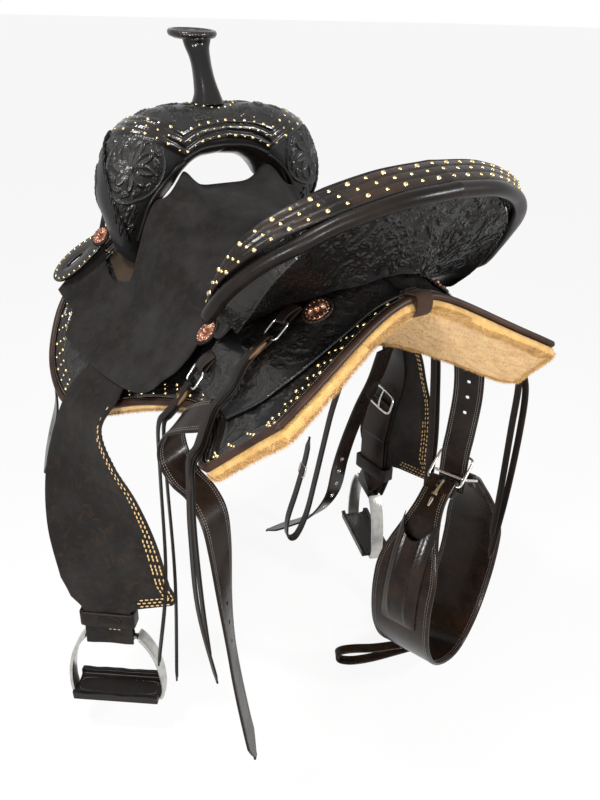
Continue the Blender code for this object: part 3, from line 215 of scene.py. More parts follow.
def nearest_on(edge, points, closed=True):
    """Each point's distance from an edge line, and how far along the line its nearest place is."""
    ends = np.roll(edge, -1, 0) if closed else edge[1:]
    starts = edge if closed else edge[:-1]
    runs = ends - starts
    sizes = np.linalg.norm(runs, axis=1)
    along = np.concatenate([[0.0], np.cumsum(sizes)[:-1]])
    far, place = [], []
    for part in np.array_split(points, len(points) // 4000 + 1):
        offset = part[:, None, :] - starts[None]
        share = np.clip(np.sum(offset * runs, axis=2) / np.maximum(sizes ** 2, 1e-12), 0, 1)
        gap = np.linalg.norm(offset - share[..., None] * runs, axis=2)
        best = np.argmin(gap, axis=1)
        rows = np.arange(len(part))
        far.append(gap[rows, best])
        place.append(along[best] + share[rows, best] * sizes[best])
    return np.concatenate(far), np.concatenate(place)


def is_inside(edge, points):
    x, y = points.T
    crossings = np.zeros(len(points), int)
    for (ax, ay), (bx, by) in zip(edge, np.roll(edge, -1, 0)):
        if ay != by:
            level = (ay > y) != (by > y)
            crossings += level & (x < ax + (y - ay) * (bx - ax) / (by - ay))
    return crossings % 2 == 1


class Pattern:
    """A piece of leather cut flat: its plan points, its triangles and each point's distance from the edge."""

    def __init__(self, outline, pitch, rounding=0.0016, corner=38):
        stretched = (STRETCH, 1.0)
        self.edge = contour(np.asarray(outline) * stretched, pitch, corner)
        tangent = unit(np.roll(self.edge, -1, 0) - np.roll(self.edge, 1, 0))
        turned = sum(a[0] * b[1] - a[1] * b[0] for a, b in zip(self.edge, np.roll(self.edge, -1, 0)))
        self.inwards = np.column_stack([-tangent[:, 1], tangent[:, 0]]) * (1 if turned > 0 else -1)
        low, high = self.edge.min(0), self.edge.max(0)
        rows = np.arange(low[1], high[1], pitch * 0.87)
        columns = np.arange(low[0], high[0], pitch)
        grid = np.vstack([np.column_stack([columns + (k % 2) * pitch / 2, np.full(len(columns), y)])
                          for k, y in enumerate(rows)])
        grid = grid[is_inside(self.edge, grid)]
        grid = grid[nearest_on(self.edge, grid)[0] > rounding + pitch * 0.45]
        rings = [self.edge + self.inwards * rounding * share for share in (0.12, 0.4, 1.0)]
        points = np.vstack([self.edge, *rings, grid])
        count = len(self.edge)
        loop = [(i, (i + 1) % count) for i in range(count)]
        made = delaunay_2d_cdt([Vector(p) for p in points], loop, [], 1, 1e-7)
        self.flat = np.array([tuple(p) for p in made[0]])
        self.faces = np.array([f for f in made[2] if len(f) == 3])
        self.far, self.along = nearest_on(self.edge, self.flat)
        self.far[self.far < 1e-6] = 0.0
        self.x, self.y = (self.flat / stretched).T
        self.rounding = rounding

    def plate(self, surface, low, thick, relief=0.0):
        """Both faces and the rim of the leather, laid on a surface, its edges rounded over."""
        round_off = rounded(self.far / self.rounding)
        middle = low + thick / 2
        upper = surface(self.x, self.y, middle + thick / 2 * round_off + relief)
        lower = surface(self.x, self.y, middle - thick / 2 * round_off)
        count = len(upper)
        points = np.vstack([upper, lower])
        faces = np.vstack([self.faces, self.faces[:, ::-1] + count])
        rim = np.where(self.far == 0.0)[0]
        lookup = np.arange(2 * count)
        lookup[rim + count] = rim
        return points, lookup[faces]

    def at(self, along, far):
        """Plan points at distances along the edge and in from it."""
        edge = np.vstack([self.edge, self.edge[:1]])
        inwards = np.vstack([self.inwards, self.inwards[:1]])
        lengths = lengths_along(edge)
        along = np.asarray(along) % lengths[-1]
        place, inward = read_off(along, lengths, edge), read_off(along, lengths, inwards)
        return (place + inward * np.asarray(far)[:, None]) / (STRETCH, 1.0)


def set_inputs(tree, node, inputs):
    """Fill a node's inputs; each is a value, or an output socket of another node to link."""
    for name, value in inputs.items():
        if isinstance(value, bpy.types.NodeSocket):
            tree.links.new(value, node.inputs[name])
        else:
            node.inputs[name].default_value = value


def add_node(tree, kind, inputs=None, **settings):
    made = tree.nodes.new("ShaderNode" + kind)
    for name, value in settings.items():
        setattr(made, name, value)
    set_inputs(tree, made, inputs or {})
    return made


def place_on(tree):
    return add_node(tree, "TexCoord").outputs["Object"]


def noise(tree, scale, detail, **more):
    """Noise over the piece's own space."""
    inputs = {"Vector": place_on(tree), "Scale": scale, "Detail": detail, **more}
    return add_node(tree, "TexNoise", inputs).outputs["Fac"]


def ramp(tree, value, low, high, start=0.0, stop=1.0):
    """A value that goes from start to stop while another goes from low to high."""
    inputs = {"Value": value, "From Min": low, "From Max": high, "To Min": start, "To Max": stop}
    return add_node(tree, "MapRange", inputs).outputs["Result"]


def blend(tree, share, first, second, **settings):
    """Two colours mixed; each is three numbers or a socket."""
    ends = [end if isinstance(end, bpy.types.NodeSocket) else (*end, 1) for end in (first, second)]
    inputs = {"Factor": share, 6: ends[0], 7: ends[1]}
    return add_node(tree, "Mix", inputs, data_type="RGBA", **settings).outputs[2]


def sums(tree, operation, *values, **settings):
    return add_node(tree, "Math", dict(enumerate(values)), operation=operation, **settings).outputs["Value"]


def dented(tree, height, strength, distance):
    inputs = {"Height": height, "Strength": strength, "Distance": distance}
    return add_node(tree, "Bump", inputs).outputs["Normal"]


def new_material(name):
    """A material, its node tree and its Principled shader."""
    material = bpy.data.materials.new(name)
    material.use_nodes = True
    return material, material.node_tree, material.node_tree.nodes["Principled BSDF"]


def new_group(name, sockets):
    """An empty shader group with its named sockets: (name, kind, in or out, default)."""
    group = bpy.data.node_groups.new(name, "ShaderNodeTree")
    for label, kind, way, default in sockets:
        socket = group.interface.new_socket(label, in_out=way, socket_type="NodeSocket" + kind)
        if default is not None:
            socket.default_value = default
    return group, group.nodes.new("NodeGroupInput"), group.nodes.new("NodeGroupOutput")


def build_grain():
    """Pores and creases of leather, and the slow change of shade that hand dyeing leaves."""
    group, given, result = new_group("leather_grain", (
        ("Scale", "Float", "INPUT", 420.0), ("Height", "Float", "OUTPUT", None),
        ("Mottle", "Float", "OUTPUT", None)))
    scale = given.outputs["Scale"]
    pores = add_node(group, "TexVoronoi", {"Vector": place_on(group), "Scale": scale},
                     feature="SMOOTH_F1")
    set_inputs(group, result, {
        "Height": sums(group, "ADD", pores.outputs["Distance"], noise(group, scale, 5.0)),
        "Mottle": ramp(group, noise(group, 24.0, 6.0, Roughness=0.62), 0.36, 0.68)})
    return group


def build_wear_and_cut_shade():
    """Colour and roughness of dyed leather: painted shade darkens the cuts; the heights are polished and
    rubbed brown.
    """
    group, given, result = new_group("wear_and_cut_shade", (
        ("Colour", "Color", "INPUT", None), ("Rubbed", "Color", "INPUT", None),
        ("Wear", "Float", "INPUT", 0.3), ("Mottle", "Float", "INPUT", 0.5),
        ("Relief", "Float", "INPUT", 1.0), ("Low Roughness", "Float", "INPUT", 0.3),
        ("High Roughness", "Float", "INPUT", 0.6), ("Colour Out", "Color", "OUTPUT", None),
        ("Roughness", "Float", "OUTPUT", None)))
    relief, mottle = given.outputs["Relief"], given.outputs["Mottle"]
    amount = sums(group, "MULTIPLY", sums(group, "MULTIPLY", relief, mottle), given.outputs["Wear"],
                  use_clamp=True)
    mixed = blend(group, amount, given.outputs["Colour"], given.outputs["Rubbed"])
    # painted shade: the colour is darkened to 0.35 of itself where the relief is low, in the carving's cuts
    cut = ramp(group, relief, 0.0, 0.35, 0.35)
    rough = add_node(group, "Mix", {"Factor": relief, 2: given.outputs["High Roughness"],
                                    3: given.outputs["Low Roughness"]}).outputs[0]
    set_inputs(group, result, {
        "Colour Out": blend(group, 1.0, mixed, cut, blend_type="MULTIPLY"),
        "Roughness": sums(group, "MULTIPLY_ADD", mottle, 0.10, rough)})
    return group


GRAIN, WEAR_AND_CUT_SHADE = build_grain(), build_wear_and_cut_shade()


def leather(name, colour, rubbed, wear, low, high, grain=420.0, bump=0.00012, relief=False, coat=0.0,
            specular=0.14):
    """Dyed leather. With relief it reads the carving's own height from the mesh, and paints shade into the
    cuts.
    """
    material, tree, shader = new_material(name)
    pores = add_node(tree, "Group", {"Scale": grain}, node_tree=GRAIN)
    carved, height = 1.0, pores.outputs["Height"]
    if relief:
        carved = add_node(tree, "Attribute", attribute_name="relief").outputs["Fac"]
        matting = add_node(tree, "TexVoronoi", {"Vector": place_on(tree), "Scale": 900.0})
        ground = sums(tree, "SUBTRACT", 1.0, carved)
        stamped = sums(tree, "MULTIPLY", matting.outputs["Distance"], ground)
        height = sums(tree, "MULTIPLY_ADD", stamped, 4.0, height)
    # painted shade: this group darkens the cuts of the carving; it also rubs the heights brown as real wear
    handled = add_node(tree, "Group", {"Colour": (*colour, 1), "Rubbed": (*rubbed, 1), "Wear": wear,
                                       "Mottle": pores.outputs["Mottle"], "Relief": carved,
                                       "Low Roughness": low, "High Roughness": high},
                       node_tree=WEAR_AND_CUT_SHADE)
    set_inputs(tree, shader, {
        "Base Color": handled.outputs["Colour Out"], "Roughness": handled.outputs["Roughness"],
        "Normal": dented(tree, height, 0.8, bump), "Coat Weight": coat, "Coat Roughness": 0.10,
        "Specular IOR Level": specular})
    return material


def piece(name, shape, material, stands_for=(), body="saddle", relief=None,
          crease=None):
    """One piece of the saddle as an object that rides on a body and stands for its plain solids."""
    points, faces = shape
    mesh = bpy.data.meshes.new(name)
    mesh.from_pydata([tuple(p) for p in points], [], [tuple(f) for f in faces])
    mesh.validate()
    mesh.shade_smooth()
    if crease:
        mesh.set_sharp_from_angle(angle=math.radians(crease))
    if relief is not None:
        values = mesh.attributes.new("relief", "FLOAT", "POINT")
        values.data.foreach_set("value", np.asarray(relief, np.float32))
    mesh.materials.append(material)
    item = bpy.data.objects.new(name, mesh)
    bpy.context.scene.collection.objects.link(item)
    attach(item, body)
    if stands_for:
        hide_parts(*stands_for)
    return item


def dress(node, material):
    """Give its material to a solid of the model that shows as it is."""
    mesh = frame["nodes"][node].data
    mesh.materials.clear()
    mesh.materials.append(material)


def smooth_step(value, soft):
    return ease(value / soft + 0.5)


def flower(u, v, place, radius, petals=8, turn=0.0):
    """Carved flower: cupped petals with a vein, round a beaded middle."""
    x, y = u - place[0], v - place[1]
    r = np.hypot(x, y) / radius
    share = (np.arctan2(y, x) + turn) * petals / (2 * math.pi)
    share = share - np.round(share)
    edge = 1.0 - 1.5 * np.abs(share) ** 1.6
    inside = smooth_step(edge - r, 0.12) * smooth_step(0.47 - np.abs(share), 0.10)
    rim = np.exp(-((edge - r - 0.09) / 0.07) ** 2)
    body = inside * (0.45 + 0.45 * np.clip(r, 0, 1) * (2 * np.abs(share)) ** 1.5 + 0.4 * rim)
    body -= inside * 0.45 * np.exp(-(share * r / 0.03) ** 2) * smooth_step(0.80 - r, 0.2)
    bead = 0.55 + 0.25 * np.cos(14 * np.arctan2(y, x))
    middle = smooth_step(0.27 - r, 0.05) * np.where(r < 0.17, 0.95 - 0.3 * (r / 0.17) ** 2, bead)
    return np.maximum(body, middle)


def leaf(u, v, start, angle, length, width, bend=0.0, lobes=4):
    """Carved leaf that swells from its stalk and tapers to a bent tip, with cut lobes and a mid vein."""
    c, s = math.cos(angle), math.sin(angle)
    x, y = u - start[0], v - start[1]
    t = (x * c + y * s) / length
    across = (y * c - x * s) / length - bend * np.sin(math.pi * np.clip(t, 0, 1) * 0.5) ** 2
    held = np.clip(t, 0.0, 1.0)
    half = 0.5 * width / length * np.sin(math.pi * held ** 0.75) * (0.80 + 0.20
                                                                  * np.cos(2 * math.pi * lobes * held))
    gap = half - np.abs(across)
    inside = smooth_step(gap, 0.05) * (t > 0) * (t < 1)
    rim = np.exp(-((gap - 0.035) / 0.03) ** 2)
    ribs = 0.12 * np.cos(2 * math.pi * lobes * 2 * (held - 1.2 * np.abs(across)))
    vein = 0.4 * np.exp(-(across / 0.018) ** 2)
    return inside * (0.62 + 0.3 * rim + ribs - vein)


def scroll(u, v, place, radius, turns, turn=0.0, hand=1):
    """Carved stem that winds in to a bud."""
    x, y = u - place[0], v - place[1]
    r = np.hypot(x, y)
    gap = radius / turns
    arm = r / gap - hand * (np.arctan2(y, x) - turn) / (2 * math.pi)
    off = np.abs(arm - np.round(arm))
    ridge = np.clip(1 - (off / 0.36) ** 2, 0, 1) * (0.55 + 0.35 * (off > 0.18))
    return np.maximum(ridge * smooth_step(radius - r, gap * 0.3),
                      0.9 * np.clip(1 - (r / (0.55 * gap)) ** 2, 0, 1))


def spray(u, v, place, radius, turn=0.0, petals=8, leaves=7):
    """A flower with a ring of leaves and curling stems round it."""
    height = flower(u, v, place, radius, petals, turn)
    for k in range(leaves):
        angle = turn + 2 * math.pi * (k + 0.5) / leaves
        start = (place[0] + radius * 0.98 * math.cos(angle), place[1] + radius * 0.98 * math.sin(angle))
        height = np.maximum(height, leaf(u, v, start, angle + 0.75, radius * 1.15, radius * 0.62, 0.22))
        outer = (place[0] + radius * 1.72 * math.cos(angle - 0.30),
                 place[1] + radius * 1.72 * math.sin(angle - 0.30))
        height = np.maximum(height, scroll(u, v, outer, radius * 0.36, 1.6, angle, 1))
    return height


def sprays(u, v, flowers):
    """Several sprays in one carving, each with its place, radius and turn."""
    carved = np.zeros(len(u))
    for place, radius, turn in flowers:
        carved = np.maximum(carved, spray(u, v, place, radius, turn))
    return carved


def strips(far, start, width, count):
    """Ribbed strips side by side, each with a cut line along both its edges."""
    share = (far - start) / width
    inside = (share > 0) & (share < count)
    share = share - np.floor(share)
    flat = 1 - (2 * np.abs(share - 0.5)) ** 6
    lines = 0.28 * np.exp(-((np.abs(share - 0.5) - 0.34) / 0.035) ** 2)
    return inside * np.clip(flat - lines, 0, 1)


def dome(height=0.75, rings=3, sides=10):
    """A small domed head, one unit in radius, as points and faces to be copied."""
    points = []
    for j in range(rings):
        rise = math.pi / 2 * j / rings
        for k in range(sides):
            turn = 2 * math.pi * k / sides
            points.append((math.cos(turn) * math.cos(rise), math.sin(turn) * math.cos(rise),
                           height * math.sin(rise)))
    faces = [(j * sides + k, j * sides + (k + 1) % sides, (j + 1) * sides + (k + 1) % sides,
              (j + 1) * sides + k) for j in range(rings - 1) for k in range(sides)]
    last = (rings - 1) * sides
    faces += [(last + k, last + (k + 1) % sides, rings * sides) for k in range(sides)]
    return np.array(points + [(0, 0, height)]), faces


def copies(shape, places, ups, aheads, sizes):
    """Many copies of a small shape in one mesh: places, the way up and ahead, and sizes on three axes."""
    points, faces = shape
    places, ups = np.asarray(places, float), unit(ups)
    aheads = np.broadcast_to(np.asarray(aheads, float), places.shape)
    aheads = unit(aheads - ups * np.sum(aheads * ups, axis=1, keepdims=True))
    across = np.cross(aheads, ups)
    sizes = np.broadcast_to(np.asarray(sizes, float), places.shape)
    scaled = points[None] * sizes[:, None, :]
    moved = (places[:, None] + scaled[..., :1] * across[:, None] + scaled[..., 1:2] * aheads[:, None]
             + scaled[..., 2:] * ups[:, None])
    count = len(points)
    all_faces = [tuple(i + k * count for i in f) for k in range(len(places)) for f in faces]
    return moved.reshape(-1, 3), all_faces


def metal(name, colour, roughness, dark=(0.02, 0.016, 0.012), grime=0.35, scale=160.0):
    """Plated metal, with tarnish gathered in patches."""
    material, tree, shader = new_material(name)
    patches = noise(tree, scale, 6.0)
    amount = ramp(tree, patches, 0.45, 0.75, 0.0, grime)
    set_inputs(tree, shader, {
        "Base Color": blend(tree, amount, colour, dark), "Metallic": 1.0,
        "Roughness": ramp(tree, patches, 0.0, 1.0, roughness * 0.8, roughness * 1.5),
        "Normal": dented(tree, patches, 0.3, 0.0003)})
    return material


tooled = leather("tooled_leather", BLACK, RUBBED, 0.14, 0.15, 0.50, bump=0.00016, relief=True,
                 coat=0.30, specular=0.26)
brass = metal("brass", (0.66, 0.52, 0.25), 0.24, (0.10, 0.06, 0.02))
STUD = dome()
skirts = {}
for side, label in SIDES:
    skirt = skirts[label] = Pattern([(side * x, y) for x, y in SKIRT], 0.0021)
    edge = resample(spline(np.asarray(SKIRT[:SKIRT_OUTER_EDGE]) * (side * STRETCH, 1.0), 8), 400)
    far = nearest_on(edge, skirt.flat, closed=False)[0]
    inner = BORDER_START + BORDER_STRIP * BORDER_STRIPS
    u, v = (skirt.flat * (side, 1)).T
    framed = smooth_step(far - inner - 0.0015, 0.002)
    both_ends = smooth_step(-0.060 - v, 0.01) + smooth_step(v - 0.10, 0.01)
    carved = sprays(u, v, SKIRT_FLOWERS) * framed * np.clip(both_ends, 0, 1)
    relief = np.where(far < inner, strips(far, BORDER_START, BORDER_STRIP, BORDER_STRIPS), carved)
    piece(f"{label}_skirt_leather",
          skirt.plate(on_back, 0.0, SKIRT_THICK, SKIRT_RELIEF * (relief - SKIRT_SUNK)), tooled,
          [f"{label}_skirt"],
          relief=np.concatenate([np.maximum(relief, 0.9 * (far < BORDER_START)), np.ones(len(u))]))
    length = lengths_along(edge)[-1]
    square = unit(np.gradient(edge, axis=0))[:, ::-1] * (-1, 1)
    square *= np.sign(np.sum(square * (edge.mean(0) - edge), axis=1, keepdims=True))
    places, sizes = [], []
    for k in range(int(length / STUD_PITCH)):
        for row in range(BORDER_STRIPS):
            s = STUD_START + k * STUD_PITCH + row * STUD_SLANT
            if s > length - STUD_END:
                continue
            inward = square[int(s / length * (len(edge) - 1))]
            place = at_lengths(edge, [s])[0] + inward * (BORDER_START + BORDER_STRIP * (row + 0.5))
            if math.dist(place / (STRETCH, 1.0), BILLET_TOP) >= BILLET_ROOM:
                places.append(place)
                sizes.append(BIG_STUD if row != 1 and (k + row // 2) % 2 else SMALL_STUD)
    places = np.array(places)
    kept = is_inside(skirt.edge, places) & (nearest_on(skirt.edge, places)[0] > STUD_CLEAR)
    x, y = (places[kept] / (STRETCH, 1.0)).T
    studs = copies(STUD, on_back(x, y, SKIRT_THICK + 0.0001), square_to(back_height, x, y), (0, 1, 0),
                   np.array(sizes)[kept, None])
    piece(f"{label}_skirt_studs", studs, brass)

# Skirt binding, seams and centre tab
# A strip of softer brown leather folded round the raw edge of each skirt and sewn down with waxed
# thread, and the suede tab that joins the two skirts over the horse's spine.

BINDING_BROWN, BROWN_RUBBED = (0.018, 0.0095, 0.0070), (0.070, 0.034, 0.020)
BINDING_HALF = SKIRT_THICK / 2
BINDING_SECTION = [(0.0078, 0.0001), (0.0074, 0.0011), (0.0064, 0.0014), (0.0058, 0.0010),
                   (0.0050, 0.0016), (0.0030, 0.0019), (0.0010, 0.0014), (-0.0006, 0.0004),
                   (-0.0012, -0.0020), (-0.0008, -0.0046), (0.0006, -0.0056), (0.0060, -0.0056)]
SEAM_IN, STITCH_PITCH = 0.0103, 0.0036
STITCH = (0.00055, 0.0013, 0.00045)
TAB_WIDTH, TAB_THICK = 0.023, 0.0026
TAB_ROUTE = [(0, -0.2560, 0.0195), (0, -0.2700, 0.0215), (0, -0.2795, 0.0232), (0, -0.2838, 0.0205),
             (0, -0.2850, 0.0120), (0, -0.2835, 0.0030), (0, -0.2790, -0.0025)]


def skin(rings, closed_path=False):
    """Faces over rings of points; each ring is closed, and the ends are capped or joined up."""
    count, sides = len(rings), len(rings[0])
    points = np.vstack(rings)
    faces = []
    for i in range(count if closed_path else count - 1):
        a, b = i * sides, (i + 1) % count * sides
        faces += [(a + k, a + (k + 1) % sides, b + (k + 1) % sides, b + k) for k in range(sides)]
    if not closed_path:
        faces += [tuple(range(sides))[::-1], tuple(range((count - 1) * sides, count * sides))]
    return points, faces


def pill(sides=6, rings=4):
    """A stitch: a rounded bead, one unit in each half size."""
    angles = [math.pi * (j / rings - 0.5) for j in range(rings + 1)]
    points = [(math.cos(2 * math.pi * k / sides) * math.cos(a), math.sin(a),
               math.sin(2 * math.pi * k / sides) * math.cos(a)) for a in angles[1:-1]
              for k in range(sides)]
    faces = [(j * sides + k, (j + 1) * sides + k, (j + 1) * sides + (k + 1) % sides,
              j * sides + (k + 1) % sides) for j in range(rings - 2) for k in range(sides)]
    first, last = len(points), len(points) + 1
    top = (rings - 2) * sides
    faces += [(first, k, (k + 1) % sides) for k in range(sides)]
    faces += [(last, top + (k + 1) % sides, top + k) for k in range(sides)]
    return np.array(points + [(0, -1, 0), (0, 1, 0)]), faces


def thread(name, colour, shine=0.55):
    """Waxed thread: a twisted ply with painted shade in the grooves between its strands, and the wax's soft
    shine.
    """
    material, tree, shader = new_material(name)
    wave = add_node(tree, "TexWave", {"Vector": place_on(tree), "Scale": 900.0, "Distortion": 1.0})
    ply = wave.outputs["Fac"]
    # painted shade: the colour falls to 0.6 of itself in the ply's grooves, where the bump is low
    set_inputs(tree, shader, {
        "Base Color": blend(tree, ply, [c * 0.6 for c in colour], colour), "Roughness": shine,
        "Normal": dented(tree, ply, 0.5, 0.0002)})
    return material


def roughout(name, colour, pale, brown, sheen=0.03):
    """Leather turned flesh side out: a short matt nap, mottled, paler where it has been handled."""
    material, tree, shader = new_material(name)
    fine, scuffs = noise(tree, 700.0, 4.0), noise(tree, 60.0, 6.0, Distortion=1.4)
    paler = ramp(tree, noise(tree, 13.0, 7.0, Roughness=0.65), 0.42, 0.72)
    browner = ramp(tree, scuffs, 0.52, 0.80, 0.0, 0.7)
    set_inputs(tree, shader, {
        "Base Color": blend(tree, browner, blend(tree, paler, colour, pale), brown),
        "Normal": dented(tree, sums(tree, "ADD", fine, scuffs), 0.9, 0.0005), "Roughness": 0.92,
        "Specular IOR Level": 0.10, "Sheen Weight": sheen, "Sheen Roughness": 0.6})
    return material


def ring_at(place, wide, up, section):
    """A section's points, set out along two directions from a place."""
    return np.array([place + wide * a + up * b for a, b in section])


def strap_rings(path, wides, width, thick, corner=0.35):
    """Sections of a strap with rounded edges; width and thick may change along the path."""
    path = np.asarray(path, float)
    tangents = unit(np.gradient(path, axis=0))
    wides = np.broadcast_to(np.asarray(wides, float), path.shape)
    wides = unit(wides - tangents * np.sum(wides * tangents, axis=1, keepdims=True))
    ups = np.cross(tangents, wides)
    width = np.broadcast_to(width, len(path))
    thick = np.broadcast_to(thick, len(path))
    rings = []
    for p, w, n, half, deep in zip(path, wides, ups, width / 2, thick / 2):
        c = min(corner * 2 * deep, half * 0.8)
        quarter = [(half, deep * 0.35), (half - c * 0.3, deep * 0.8), (half - c, deep)]
        top = quarter + [(-a, b) for a, b in quarter[::-1]]
        section = [(-a, -b) for a, b in top] + top
        rings.append(ring_at(p, w, n, section))
    return rings, tangents, wides, ups


binding_leather = leather("binding_leather", BINDING_BROWN, BROWN_RUBBED, 0.5, 0.34, 0.34, 300.0)
smooth_leather = leather("smooth_leather", BLACK, RUBBED, 0.14, 0.30, 0.30, 380.0, coat=0.03)
seam_thread = thread("seam_thread", (0.17, 0.15, 0.135))
tab_suede = roughout("tab_suede", (0.026, 0.0135, 0.0080), (0.042, 0.024, 0.015), (0.055, 0.025, 0.012))
BEAD = pill()
for side, label in SIDES:
    skirt = skirts[label]
    length = lengths_along(np.vstack([skirt.edge, skirt.edge[:1]]))[-1]
    steps = np.arange(0, length, 0.0035)
    outside = skirt.at(steps, np.zeros(len(steps))).T
    inside = skirt.at(steps, np.full(len(steps), 0.004)).T
    lift = np.full(len(steps), BINDING_HALF)
    centres = on_back(*outside, lift)
    ups = square_to(back_height, *outside)
    inwards = unit(on_back(*inside, lift) - centres)
    centres = centres + ups * BINDING_HALF
    rings = [ring_at(p, i, n, BINDING_SECTION) for p, i, n in zip(centres, inwards, ups)]
    piece(f"{label}_skirt_binding", skin(rings, closed_path=True), binding_leather)
    steps = np.arange(0, length, STITCH_PITCH)
    x, y = skirt.at(steps, np.full(len(steps), SEAM_IN)).T
    places = on_back(x, y, np.full(len(x), SKIRT_THICK + 0.0006))
    aheads = np.roll(places, -1, 0) - places
    piece(f"{label}_skirt_stitches", copies(BEAD, places, square_to(back_height, x, y), aheads, STITCH),
          seam_thread)
tab_path = resample(spline(TAB_ROUTE, 6), 30)
piece("skirt_tab", skin(strap_rings(tab_path, (1, 0, 0), TAB_WIDTH, TAB_THICK)[0]), tab_suede)

# Wool
# Sheepskin sewn under the whole of each skirt, clipped to an even depth. It pads the horse's back, and its
# golden fibres stand out as a fuzzy rim below the binding.

WOOL_THICK = 0.015
WOOL_PALE, WOOL_DEEP = (0.62, 0.39, 0.135), (0.48, 0.27, 0.080)
WOOL_ROUND = 0.0060
FIBRES = 64000
FIBRE_LENGTH, FIBRE_HALF, FIBRE_SPREAD = (0.0030, 0.0062), 0.00022, 0.55


def build_wool():
    material, tree, shader = new_material("sheepskin")
    tufts, curls = noise(tree, 70.0, 4.0, Distortion=0.2), noise(tree, 520.0, 3.0, Distortion=0.4)
    set_inputs(tree, shader, {
        "Base Color": blend(tree, ramp(tree, tufts, 0.35, 0.66), WOOL_DEEP, WOOL_PALE),
        "Normal": dented(tree, sums(tree, "MULTIPLY_ADD", tufts, 2.0, curls), 1.0, 0.0016),
        "Roughness": 0.95, "Specular IOR Level": 0.1, "Sheen Weight": 0.35})
    return material


def ripples(points):
    """Soft plush folds: a sum of a few crossed waves that never repeat in step."""
    x, y, z = points.T
    waves = np.sin(x * 61 + 2.1 * np.sin(y * 37)) + np.sin(y * 83 + 1.7 * np.sin(x * 29 + 1.0))
    waves += 0.7 * np.sin(x * 171 + y * 139 + 1.3 * np.sin(y * 97))
    return waves / 2.7


wool = build_wool()
rng = np.random.default_rng(7)
for side, label in SIDES:
    fleece = Pattern([(side * x, y) for x, y in SKIRT], 0.0042, rounding=WOOL_ROUND)
    points, faces = fleece.plate(on_back, -WOOL_THICK - 0.001, WOOL_THICK)
    below = np.arange(len(points)) >= len(fleece.flat)
    ups = np.vstack([square_to(back_height, fleece.x, fleece.y)] * 2)
    points = points - ups * (0.0011 * (1 + ripples(points)) * below)[:, None]
    piece(f"{label}_fleece_pad", (points, faces), wool, [f"{label}_fleece"])
    corners = points[faces]
    squares = np.cross(corners[:, 1] - corners[:, 0], corners[:, 2] - corners[:, 0])
    low = (faces >= len(fleece.flat)).any(axis=1)
    rim = fleece.far[faces % len(fleece.flat)].min(axis=1) < WOOL_ROUND
    chance = np.linalg.norm(squares, axis=1) * low * (1 + 9 * rim)
    chosen = rng.choice(len(faces), FIBRES, p=chance / chance.sum())
    weights = rng.dirichlet((1, 1, 1), FIBRES)
    roots = np.einsum("ij,ijk->ik", weights, corners[chosen])
    outwards = -unit(squares)[chosen]
    outwards *= np.sign(np.sum(outwards * -ups[0], axis=1, keepdims=True) + 1e-9)
    leans = unit(outwards + rng.normal(0, FIBRE_SPREAD, (FIBRES, 3)))
    sizes = rng.uniform(*FIBRE_LENGTH, (FIBRES, 1)) * np.where(rim[chosen], 1.0, 0.75)[:, None]
    thick = unit(np.cross(leans, rng.normal(0, 1, (FIBRES, 3)))) * FIBRE_HALF
    tips = roots + leans * sizes
    strands = np.stack([roots - thick, roots + thick, tips], axis=1).reshape(-1, 3)
    triangles = np.arange(FIBRES * 3).reshape(-1, 3)
    piece(f"{label}_fleece_fibres", (strands, triangles), wool)

# Tree bars and rear jockeys
# The bars are the tree's two wooden runners under rawhide, dark with age and oil. Over them lie the rear
# jockeys, two carved plates with a rolled, roped edge that cover the joint behind the cantle.

BAR_THICK, JOCKEY_THICK, HIDE = 0.014, 0.0038, (0.040, 0.027, 0.017)
REAR_JOCKEY = [(0.004, -0.268), (0.045, -0.262), (0.088, -0.262), (0.136, -0.252),
               (0.171, -0.232), (0.194, -0.194), (0.182, -0.120), (0.172, -0.068), (0.151, -0.068),
               (0.149, -0.085), (0.112, -0.085), (0.085, -0.115), (0.060, -0.156),
               (0.040, -0.192), (0.004, -0.204)]
ROPE_WIDE, ROPE_PITCH, JOCKEY_RELIEF, JOCKEY_SUNK = 0.0046, 0.0046, 0.0021, 0.85
JOCKEY_FLOWERS = (((0.205, -0.205), 0.021, 0.2), ((0.145, -0.235), 0.019, 0.7),
                  ((0.060, -0.238), 0.018, 0.1), ((0.232, -0.150), 0.019, 0.5),
                  ((0.165, -0.165), 0.018, 0.9), ((0.100, -0.205), 0.016, 0.3),
                  ((0.222, -0.100), 0.017, 0.2), ((0.140, -0.120), 0.018, 0.6))
JOINT_WIDTH, JOINT_THICK = 0.015, 0.0022


def bar_cover(x, y):
    """Lift of what drapes over a bar: the bar's height inside its edge, the skirt's outside."""
    inside = ease((0.170 - np.abs(x)) / 0.034) * ease((y + 0.252) / 0.042)
    return SKIRT_THICK + SEAM + (BAR_THICK + SEAM) * inside


def on_jockey(x, y, lift):
    return on_back(x, y, bar_cover(x, y) + SEAM + np.asarray(lift))


def roped(far, along):
    """The rolled edge of a plate, cut with slanting strokes like a laid rope."""
    across = far / ROPE_WIDE
    inside = (far < ROPE_WIDE) * np.sqrt(np.clip(1 - (2 * across - 1) ** 2, 0, 1))
    return inside * (0.55 + 0.45 * np.cos(2 * math.pi * (along + 0.9 * far) / ROPE_PITCH))


